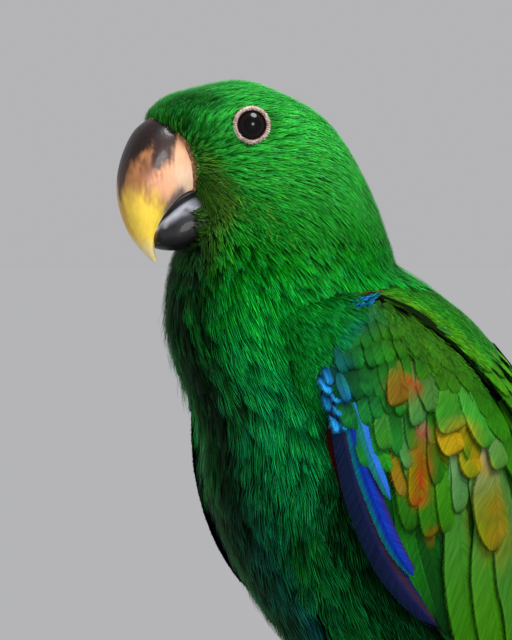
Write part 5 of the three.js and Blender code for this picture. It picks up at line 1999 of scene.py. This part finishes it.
@dataclass
class Beak:
    """A parrot's hooked upper beak, hollow below, with the lower beak closing against it."""

    ridge: Rows = (
        (29.5, 297.5), (37.0, 300.3), (42.4, 297.9), (46.2, 292.0), (48.4, 284.6), (48.3, 276.9),
        (45.8, 269.2), (42.0, 263.8), (38.5, 260.3),
    )
    edge: Rows = (
        (24.0, 283.5), (28.0, 280.8), (31.2, 279.6), (34.0, 277.6), (36.4, 274.8), (38.5, 271.4),
        (39.3, 267.8), (39.0, 263.8), (37.5, 260.8),
    )
    half: tuple[float, ...] = (8.2, 9.6, 9.6, 9.0, 8.0, 6.6, 4.8, 2.8, 0.9)
    outline: Rows = (
        (0.0, 1.0), (0.36, 0.95), (0.67, 0.77), (0.88, 0.47), (0.97, 0.1), (0.97, -0.28), (0.88, -0.62),
        (0.74, -0.9), (0.66, -0.99), (0.58, -0.86), (0.4, -0.62), (0.0, -0.5),
    )
    lower: Rows = (
        (20.0, 277.4, 267.0, 8.4), (27.0, 279.2, 264.8, 8.6), (32.0, 277.5, 263.6, 8.0),
        (36.0, 274.2, 263.8, 6.8), (39.0, 271.0, 264.9, 5.2), (40.1, 269.3, 266.4, 3.4),
    )

    def upper_ring(self, s: Array, turn: Array, outset: float = 0.0) -> Array:
        """Points of the upper beak.

        Args:
            s: Place along it, from 0 at the root to 8 at the tip.
            turn: Place round it, from 0 at the ridge to 11 at the middle below, negative on the right.
            outset: Height over it.

        Returns:
            Places in millimetres.
        """
        ridge, edge, half = (through(v, s) for v in (self.ridge, self.edge, self.half))
        wide, deep = np.moveaxis(through(self.outline, np.abs(turn)), -1, 0)
        centre, across = (ridge + edge) / 2, (ridge - edge) / 2
        size = norm(across)
        hollow = 1 - ease(s, 6.0, 8.0)
        reach = np.where(np.abs(turn) > 8, deep * hollow - (1 - hollow), deep) * (size + outset) / size
        spot = centre + across * reach[..., None]
        return in_head(spot[..., 0], wide * (half + outset) * np.sign(turn), spot[..., 1])

    @staticmethod
    def feather_edge(turn: Array) -> Array:
        """Where along the upper beak the feathers start, for places round it."""
        spots = (0, 0.7, 1.5, 2.5, 3.5, 5, 6.4, 7.9)
        return np.interp(np.abs(turn), spots, (1.5, 1.3, 1.06, 0.94, 0.9, 0.95, 1.2, 1.5))

    @staticmethod
    def upper_colours(s: Array, turn: Array, points: Array) -> Array:
        """Colours of the upper beak: dark base patches, orange and peach sides, and a yellow hook.

        Args:
            s: Place along it.
            turn: Place round it.
            points: The places in space, for the variation.

        Returns:
            Linear colours.
        """
        q = np.abs(turn)
        fine = MOTTLE.at(points * (1, 1, 0.22), 0.55)
        fray = MOTTLE.at(points * (1, 1, 0.35), 1.8) * 0.35 + fine * 0.3
        side = ease(q + fray * 0.8, 2.6, 4.2) * (1 - ease(s, 3.3, 4.4))
        peach = ease(q + fray * 0.5, 4.4, 5.8) * (1 - ease(s, 1.9, 3.2))
        brown = 1 - ease(np.hypot((s - 3.3) / 0.9, (q - 3.9) / 1.5) + fray, 0.4, 1.1)
        brown = brown * ease(fine, -0.5, 0.6)
        bars = ease(fine, 0.1, 0.7) * (1 - ease(s, 3.2, 4.4)) * (1 - ease(q, 2.6, 3.6))
        yellow = ease(s + 0.14 * (q - 0.6) + fray * 0.9, 4.2, 5.4)
        amber = (1 - ease(q + fray, 0.5, 1.6)) * yellow * (1 - ease(s, 5.5, 7.0))
        spots = (0.9, 1.6, 2.2, 2.7, 3.0, 3.4, 4.0, 4.7, 5.2)
        bound = np.interp(s, spots, (1.4, 2.3, 2.45, 2.3, 1.9, 1.5, 1.1, 0.2, -1.2))
        streak = (1 - ease(q + fray - bound, -0.28, 0.4)) * ease(s, 0.5, 1.0)
        streak = streak * mix(0.98, 0.8, ease(s, 3.0, 4.6))
        low = np.interp(s, (0.8, 1.7, 2.1, 2.5, 3.0, 3.3), (1.4, 1.8, 2.2, 2.65, 3.0, 3.3))
        high = np.interp(s, (0.7, 1.0, 1.3, 1.8, 2.4, 2.95, 3.3), (2.4, 3.0, 3.6, 4.0, 4.15, 3.9, 3.2))
        patch = ease(q + fray - low, -0.25, 0.25) * (1 - ease(q + fray - high, -0.25, 0.35))
        patch = patch * (1 - ease(s + fray, 3.0, 3.5))
        drip = 1 - ease(np.abs(q - 3.3 + fray), 0.2, 0.8)
        drip = drip * ease(s, 2.6, 3.0) * (1 - ease(s + fray, 3.3, 4.1))
        rim = ease(q + fray * 0.6, 6.0, 7.0) * ease(s, 1.9, 2.4) * (1 - ease(s + fray, 4.0, 4.9))
        lip = (1 - ease(np.abs(q - 7.9), 0.1, 0.4)) * ease(s, 2.0, 3.0) * (1 - ease(s, 5.8, 6.6))
        inside = ease(q, 8.4, 9.4) * (1 - ease(s, 5.6, 6.6))
        coats = (
            ("#F2B48E", side), ("#FBD3B2", peach), ("#9A5A34", brown * 0.75), ("#3A2018", bars * 0.6),
            ("#FFDA50", yellow), ("#C98A1A", amber * 0.6), ("#FFEBAC", ease(s, 6.0, 7.4)),
            ("#150E10", streak), ("#1C141A", patch * 0.95), ("#5A3428", drip * 0.6), ("#55525E", rim * 0.85),
            ("#D8C4A4", lip * 0.55), ("#2A1A1A", inside * 0.9),
        )
        base = dye("#A67048")
        for code, share in coats:
            base = paint(base, code, share)
        return base

    def upper_shell(self) -> Shell:
        """The upper beak as a closed shell."""
        s, turn = np.meshgrid(np.linspace(0, 8, 120), np.linspace(-11, 11, 97)[:-1], indexing="ij")
        points = self.upper_ring(s, turn)
        return wrap_grid(points, self.upper_colours(s, turn, points), ends=True)

    def lower_ring(self, s: Array, angle: Array, outset: float = 0.0) -> Array:
        """Points of the lower beak.

        Args:
            s: Place along it, from 0 in the throat to 5 at its blunt edge.
            angle: Angle round it, from its upper middle.
            outset: Height over it.

        Returns:
            Places in millimetres.
        """
        forward, high, low, half = np.moveaxis(through(self.lower, s), -1, 0)
        cup = 0.34 * (1 - np.abs(np.sin(angle))) * (np.cos(angle) > 0) * ease(s, 1.0, 3.0)
        up = power(np.cos(angle), 2.5) * ((high - low) / 2 + outset) * (1 - cup)
        wide = power(np.sin(angle), 2.5) * (half + outset) * (1 - 0.12 * np.cos(angle))
        return in_head(forward, wide, (high + low) / 2 + up)

    def lower_shell(self) -> Shell:
        """The lower beak as a closed shell."""
        s, angle = rings(0, 5, 60, 72)
        points = self.lower_ring(s, angle)
        fray = MOTTLE.at(points, 1.8) * 0.4
        fleck = ease(MOTTLE.at(points + 9, 0.6), 0.75, 1.2) * ease(s, 1.5, 3.0)
        # Painted shade: darker below. Painted reflection: pale grey on top.
        base = paint(dye("#2A2B31"), "#0A0A0C", ease(-np.cos(angle) + fray, -0.7, 0.3))
        base = paint(base, "#B2B4C0", ease(np.cos(angle) + fray * 0.6, 0.25, 0.85) * ease(s, 0.5, 2.0))
        base = paint(base, "#A08A5A", fleck * 0.8)
        return wrap_grid(points, paint(base, "#6A5228", ease(s + fray, 4.1, 4.9) * 0.8), ends=True)

    def cere_shell(self) -> Shell:
        """The narrow band of bare skin where the feathers start, as a shell open at its two ends."""
        share, turn = np.meshgrid(np.linspace(0, 1, 12), np.linspace(-7.9, 7.9, 121), indexing="ij")
        s = self.feather_edge(turn) - 0.3 + 0.38 * share
        swell = 0.42 * np.sin(share * math.pi) ** 0.6 * (1 + 0.3 * np.sin(turn * 9 + share * 5))
        outer = self.upper_ring(s, turn, swell - 0.1)
        inner = self.upper_ring(s[::-1], turn[::-1], -0.7)
        return wrap_grid(np.concatenate([outer, inner, outer[:1]]), closed=False)

    def mouth_shell(self) -> Shell:
        """The dark inside of the mouth, between the beaks, as a closed shell."""
        s, angle = rings(0.2, 4.1, 30, 40)
        forward, high, _, half = np.moveaxis(through(self.lower, s), -1, 0)
        size = np.sin(np.clip((s + 0.6) / 4.7, 0, 1) * math.pi) ** 0.4
        points = in_head(forward, np.sin(angle) * half * 0.74 * size, high + 0.9 + np.cos(angle) * 2.6 * size)
        return wrap_grid(points, ends=True)

    def build(self, horn: Finish, slate: Finish, cere: Finish, moist: Finish) -> list[Piece]:
        """Makes beak, cere and mouth.

        Args:
            horn: The material of the upper beak.
            slate: The material of the lower beak.
            cere: The material of the bare skin.
            moist: The material of the mouth's inside.

        Returns:
            Upper beak and lower beak.
        """
        upper = settle("upper_beak", self.upper_shell(), horn, ("beak_upper",))
        lower = settle("lower_beak", self.lower_shell(), slate, ("beak_lower",))
        settle("mouth_inside", self.mouth_shell(), moist)
        settle("cere_band", self.cere_shell(), cere, ("cere",))
        return [upper, lower]


@dataclass
class Eyes:
    """Dark eyes in rings of small pale beads."""

    forward: float = 16.6
    left: float = 15.6
    high: float = 298.0
    radius: float = 5.4
    yaw: float = math.radians(15)
    ring: float = 4.62

    # Reach, size, count and level of each ring of beads.
    BEADS = ((5.0, 0.32, 50, -0.3), (4.56, 0.28, 48, 0.06), (4.24, 0.18, 52, 0.1))

    def frame(self, side: int) -> tuple[Array, Array, Array]:
        """The way that the eye on one side looks, and two directions across it."""
        ahead = in_head(math.sin(self.yaw), math.cos(self.yaw) * side, 0.0) - in_head(0.0, 0.0, 0.0)
        right = unit(np.cross(unit(ahead), (0, 0, 1)))
        return unit(ahead), right, np.cross(right, unit(ahead))

    def centre(self, side: int) -> Array:
        """The middle of the eyeball on one side."""
        return in_head(self.forward, self.left * side, self.high)

    def rim(self, side: int) -> Array:
        """The middle of the eyelids' ring on one side."""
        return self.centre(side) + self.frame(side)[0] * self.radius * 0.72

    @staticmethod
    def spokes(turn: Array, right: Array, up: Array) -> Array:
        """Directions at angles between right and up."""
        return np.cos(turn)[..., None] * right + np.sin(turn)[..., None] * up

    def ball(self, side: int) -> Shell:
        """The eyeball, with pupil and iris in its colours."""
        axis, right, up = self.frame(side)
        polar, turn = rings(0, math.pi, 64, 64)
        ways = np.cos(polar)[..., None] * axis + np.sin(polar)[..., None] * self.spokes(turn, right, up)
        out = np.sin(polar) * self.radius
        iris = paint(dye("#030203"), "#160B06", ease(out, 2.3, 2.8))
        iris = paint(paint(iris, "#050304", ease(out, 2.9, 3.4)), "#7A4A28", ease(out, 3.85, 4.1))
        return wrap_grid(self.centre(side) + ways * self.radius, iris)

    def lid(self, side: int) -> Shell:
        """The eyelids: a low ring covered with beads."""
        (axis, right, up), centre = self.frame(side), self.rim(side)
        angles = [np.linspace(0, TURN, count, endpoint=False) for count in (72, 12)]
        turn, small = np.meshgrid(*angles, indexing="ij")
        radius = self.ring + 0.5 * np.cos(small)
        points = centre + self.spokes(turn, right, up) * radius[..., None]
        points = points + axis * (0.42 * np.sin(small) - 0.15)[..., None]
        shells = [wrap_grid(np.concatenate([points, points[:1]]))]
        draw = np.random.default_rng(8 + side)
        for reach, size, count, level in self.BEADS:
            for k in range(count):
                way = self.spokes((k + draw.normal(0, 0.12)) / count * TURN, right, up)
                spot = centre + way * (reach + draw.normal(0, 0.04)) + axis * (level + 0.15)
                radius = size * (0.85 + 0.3 * draw.random()) * MM
                bead = bmesh.new()
                bmesh.ops.create_icosphere(bead, subdivisions=2, radius=radius)
                bmesh.ops.translate(bead, verts=bead.verts, vec=Vector(spot * MM))
                shells.append(bead)
        return gather(shells)

    def build(self, wet: Finish, skin: Finish) -> None:
        """Makes both eyes and their lids.

        Args:
            wet: The material of the eyeball.
            skin: The material of the lids.
        """
        for side, name in ((1, "left"), (-1, "right")):
            settle(f"eyeball_{name}", self.ball(side), wet, (f"eye_{name}",))
            settle(f"eyelid_{name}", self.lid(side), skin, (f"eye_ring_{name}",))


# Feet, branch and stand


class Toe(Enum):
    """The four toes: how far each wraps round the branch, how far it strays out, and where it starts."""

    OUTER_FRONT = (104.0, 6.5, 2.4)
    INNER_FRONT = (76.0, -6.5, -2.4)
    OUTER_BACK = (-92.0, 7.0, 2.0)
    INNER_BACK = (-60.0, -5.5, -2.0)


@dataclass
class Perch:
    """A short cut length of branch, in its bark, with sawn ends."""

    radius: float = 11.5
    length: float = 132.0
    y: float = -6.0
    z: float = 94.0

    def over(self, x: float, degrees: float, height: float) -> Array:
        """A place over the branch, at an angle from its top towards the front."""
        reach, angle = self.radius + height, math.radians(degrees)
        return np.array([x, self.y - math.sin(angle) * reach, self.z + math.cos(angle) * reach])

    def shell(self) -> Shell:
        """The branch as a closed shell with knobs and furrows."""
        x, angle = rings(-self.length / 2, self.length / 2, 120, 96)
        wave = 0.5 * np.sin(3 * angle + x * 0.09) + 0.35 * np.sin(x * 0.21 + angle)
        radius = self.radius - 0.35 + ease(np.abs(x), 36, 52) * (wave - x * 0.012)
        points = np.stack([x, self.y + np.cos(angle) * radius, self.z + np.sin(angle) * radius], -1)
        furrow = MOTTLE.at(points * (0.35, 1, 1), 2.4) * 0.28 + MOTTLE.at(points * (0.5, 1, 1), 1.0) * 0.14
        out = unit(points * (0, 1, 1) - (0, self.y, self.z))
        points = points + out * (furrow - 0.2)[..., None]
        shares = np.array([0.0, 0.5, 0.8, 0.97])[:, None, None]
        first, last = (mix(points[k].mean(0), points[k], shares) for k in (0, -1))
        return wrap_grid(np.concatenate([first, points, last[::-1]]))

    def build(self, bark: Finish, sawn: Finish) -> None:
        """Makes the branch, with sawn wood on its ends.

        Args:
            bark: The material of its side.
            sawn: The material of its ends.
        """
        piece = settle("branch", self.shell(), bark, ("perch",))
        piece.data.materials.append(sawn)
        for face in piece.data.polygons:
            if abs(face.normal.x) > 0.8 and abs(face.center.x) > (self.length / 2 - 0.5) * MM:
                face.material_index = 1


@dataclass
class Feet:
    """Grey scaly feet with two toes forward and two back, and dark claws."""

    perch: Perch
    leg_x: float = 18.0
    toe_radius: float = 2.9

    # Forward place, height and radius along the bare leg, from the ankle to the foot.
    SHANK = ((0.8, 124.0, 2.8), (-1.0, 117.0, 3.0), (-4.1, 113.7, 3.3), (-6.0, 110.5, 3.8))
    # Degrees beyond the toe's end, height over the branch and radius along a claw.
    CLAW = ((3.0, 4.0, 1.7), (16, 4.8, 1.4), (30, 3.5, 0.9), (41, 1.5, 0.22))

    @staticmethod
    def pads(share: float) -> float:
        """A factor on a toe's radius at a share of its length, with swells for its pads and scales."""
        return 1 + 0.07 * math.sin(share * math.pi * 5) + 0.025 * math.sin(share * math.pi * 34)

    def toe(self, side: int, toe: Toe) -> Shell:
        """One toe, with pads between its joints."""
        wrap, drift, start = toe.value
        path = []
        for k in np.linspace(0, 1, 7):
            spot = self.perch.over(side * (self.leg_x + start + drift * k), wrap * k, self.toe_radius + 0.62)
            path.append((*spot, self.toe_radius * (1 - 0.3 * k) * 0.97))
        return wrap_grid(limb(path, 46, 22, self.pads))

    def claw(self, side: int, toe: Toe) -> Shell:
        """One curved claw."""
        wrap, drift, start = toe.value
        way, out = math.copysign(1.0, wrap), math.copysign(1.0, drift)
        path = []
        for beyond, height, radius in self.CLAW:
            x = side * (self.leg_x + start + drift + out * beyond * 0.02)
            path.append((*self.perch.over(x, wrap + way * beyond, height), radius))
        return wrap_grid(limb(path, 30, 18))

    def shank(self, side: int) -> Shell:
        """The bare leg above the toes, with its scales as shallow rings."""
        path = [(side * self.leg_x, y, z, radius) for y, z, radius in self.SHANK]
        return wrap_grid(limb(path, 30, 28, lambda k: 1 + 0.02 * math.sin(k * math.pi * 22)))

    def build(self, scale: Finish, horn: Finish) -> None:
        """Makes both feet and their claws.

        Args:
            scale: The material of the scaly skin.
            horn: The material of the claws.
        """
        for side, name in ((1, "left"), (-1, "right")):
            foot = gather([self.shank(side), *(self.toe(side, toe) for toe in Toe)])
            settle(f"foot_scaly_{name}", foot, scale, (f"foot_{name}",))
            nodes = tuple(f"claw_{name}_{toe.name.lower()}" for toe in Toe)
            settle(f"claws_{name}", gather([self.claw(side, toe) for toe in Toe]), horn, nodes)


@dataclass
class Stand:
    """A rod up to the branch from a round turned base with a rounded rim."""

    base_radius: float = 78.0
    base_height: float = 13.0
    rod_radius: float = 5.0
    rod_top: float = 86.5
    y: float = -6.0

    @staticmethod
    def rounded(shell: Shell, edges: Sequence[bmesh.types.BMEdge], size: float, segments: int) -> None:
        """Rounds edges off by a size in millimetres."""
        kind = {"offset_type": "OFFSET", "affect": "EDGES", "profile": 0.5, "material": -1}
        bmesh.ops.bevel(shell, geom=edges, offset=size * MM, segments=segments, **kind)

    def base(self) -> Shell:
        """The base: a disc drawn up, with its rims rounded and a shallow ring turned into its top."""
        disc = bmesh.new()
        bmesh.ops.create_circle(disc, cap_ends=True, segments=128, radius=self.base_radius * MM)
        grown = bmesh.ops.extrude_face_region(disc, geom=disc.faces[:])
        top = [v for v in grown["geom"] if isinstance(v, bmesh.types.BMVert)]
        bmesh.ops.translate(disc, verts=top, vec=(0, 0, self.base_height * MM))
        bmesh.ops.recalc_face_normals(disc, faces=disc.faces)
        over = {edge: [v.co.z > 1e-6 for v in edge.verts] for edge in disc.edges}
        rims = [[edge for edge, ends in over.items() if ends == [high] * 2] for high in (True, False)]
        for edges, size in zip(rims, (3.0, 1.0)):
            self.rounded(disc, edges, size, 5)
        middle = [f for f in disc.faces if f.normal.z > 0.99]
        bmesh.ops.inset_region(disc, faces=middle, thickness=9 * MM, depth=0)
        bmesh.ops.inset_region(disc, faces=middle, thickness=1.2 * MM, depth=-0.7 * MM)
        return disc

    def rod(self) -> Shell:
        """The rod: a cylinder with its rims eased."""
        low, radius = self.base_height + 0.35, self.rod_radius * MM
        tall = (self.rod_top - low) * MM
        rod = bmesh.new()
        bmesh.ops.create_cone(rod, cap_ends=True, segments=64, radius1=radius, radius2=radius, depth=tall)
        bmesh.ops.translate(rod, verts=rod.verts, vec=(0, self.y * MM, low * MM + tall / 2))
        rims = [e for e in rod.edges if abs(e.verts[0].co.z - e.verts[1].co.z) < 1e-6]
        self.rounded(rod, rims, 0.3, 2)
        return rod

    def build(self, wood: Finish, metal: Finish) -> None:
        """Makes base and rod, with their flat ends kept flat.

        Args:
            wood: The material of the base.
            metal: The material of the rod.
        """
        base = settle("base_turned", self.base(), wood, ("stand_base",))
        rod = settle("rod_painted", self.rod(), metal, ("stand_rod",))
        for polygon in (*base.data.polygons, *rod.data.polygons):
            polygon.use_smooth = len(polygon.vertices) == 4


# Studio


@dataclass
class Studio:
    """A plain pale floor, soft light and the photograph's camera."""

    azimuth: float = 56.0
    elevation: float = 2.0
    target: tuple[float, float, float] = (0.0, -0.042, 0.244)
    distance: float = 0.9
    lens: float = 180.8
    sky: str = "#B4B4B6"

    @staticmethod
    def hang(
        name: str, data: bpy.types.ID, azimuth: float, elevation: float, target: Sequence[float] = (0, 0, 0),
        away: float = 0.0,
    ) -> Piece:
        """Adds a light or a camera that faces the bird.

        Args:
            name: Its name.
            data: The light or the camera.
            azimuth: Degrees round the bird, 0 in front of it and 90 at its left.
            elevation: Degrees above the horizon.
            target: What it faces, in metres.
            away: Metres from the target.

        Returns:
            The new object.
        """
        a, e = math.radians(azimuth), math.radians(elevation)
        way = Vector((math.sin(a) * math.cos(e), -math.cos(a) * math.cos(e), math.sin(e)))
        thing = bpy.data.objects.new(name, data)
        thing.location = Vector(target) + way * away
        thing.rotation_euler = (-way).to_track_quat("-Z", "Y").to_euler()
        bpy.context.scene.collection.objects.link(thing)
        return thing

    @staticmethod
    def floor() -> None:
        """Adds the floor, a wide sheet of paper."""
        sheet = bmesh.new()
        bmesh.ops.create_circle(sheet, cap_ends=True, segments=96, radius=14.0)
        mesh = bpy.data.meshes.new("studio_floor")
        sheet.to_mesh(mesh)
        sheet.free()
        mesh.materials.append(StudioPaper().make())
        floor = bpy.data.objects.new("studio_floor", mesh)
        bpy.context.scene.collection.objects.link(floor)

    def build(self) -> None:
        """Makes floor, lights, sky and camera."""
        self.floor()
        sun = bpy.data.lights.new("skylight", "SUN")
        sun.energy = 4.4
        sun.angle = math.radians(28)
        self.hang("skylight", sun, 100, 58)
        window = bpy.data.lights.new("window", "AREA")
        window.shape = "DISK"
        window.size = 0.42
        window.energy = 8.0
        self.hang("window", window, 76, 10, (0, -0.02, 0.2), 1.5)
        world = bpy.data.worlds.new("studio_sky")
        world.use_nodes = True
        world.node_tree.nodes["Background"].inputs["Color"].default_value = linear(self.sky)
        scene = bpy.context.scene
        scene.world = world
        scene.view_settings.view_transform = "Standard"
        photo = bpy.data.cameras.new("photo_camera")
        photo.lens = self.lens
        photo.sensor_width = 36.0
        photo.clip_start = 0.05
        photo.clip_end = 60.0
        place = (self.azimuth, self.elevation, self.target, self.distance)
        scene.camera = self.hang("photo_camera", photo, *place)


def main() -> None:
    """Builds the parrot and its stand, then the studio."""
    logging.basicConfig(level=logging.INFO, format="%(name)s: %(message)s")
    barbs, keratin, downy = BarbKeratin().make(), VaneKeratin().make(), DownySkin().make()
    slate = BeakHorn("lower_beak_horn_slate", streak=1.4, roughness=0.42, gloss=0.12).make()
    moist = BareSkin("mouth_moist_skin", "#060405", "#1A1012", 1.6, 0.1, 0.4).make()
    cere = BareSkin("cere_bare_skin", "#3A2414", "#B07C48", 0.8).make()
    lids = BareSkin("eyelid_beaded_skin", "#8A7066", "#DCCBC0", 0.5, 0.05, 0.45).make()
    scale = BareSkin("foot_scaly_skin", "#2C2B2B", "#7C7974", 1.3, 0.35, 0.6).make()
    claw = BareSkin("claw_horn_dark", "#0E0D0E", "#2A2829", 2.2, 0.04, 0.28).make()
    bark = Wood("branch_bark", "#3A2A1C", "#8A6E52", (0.25, 1.0, 1.0), 2.2, 0.8, 0.85).make()
    sawn = Wood("branch_sawn_end", "#A8865C", "#D8BC8C", (1.0, 1.0, 1.0), 1.4, 0.1, 0.8).make()
    walnut = Wood("base_walnut_oiled", "#2A1A10", "#4E3420", (0.12, 1.0, 1.0), 3.0, 0.08, 0.4, 0.25).make()
    beak, eyes, perch = Beak(), Eyes(), Perch()
    upper, lower = beak.build(BeakHorn().make(), slate, cere, moist)
    eyes.build(WetEye().make(), lids)
    body, skin, thighs = Skin().build(downy)
    blocked = [(surface_over([upper]), 0.15), (surface_over([lower]), 0.1)]
    faced = surface_over([body, upper, lower])
    Coat(skin, thighs, faced, blocked, [eyes.rim(side) for side in (1, -1)], beak).build(barbs)
    Wing(1, 0.0, 0.0).build(downy, keratin, barbs)
    Wing(-1, 12.0, -4.0).build(downy, keratin, barbs)
    Tail().build(keratin)
    perch.build(bark, sawn)
    Feet(perch).build(scale, claw)
    Stand().build(walnut, SatinPaint().make())
    Studio().build()


if __name__ == "__main__":
    main()
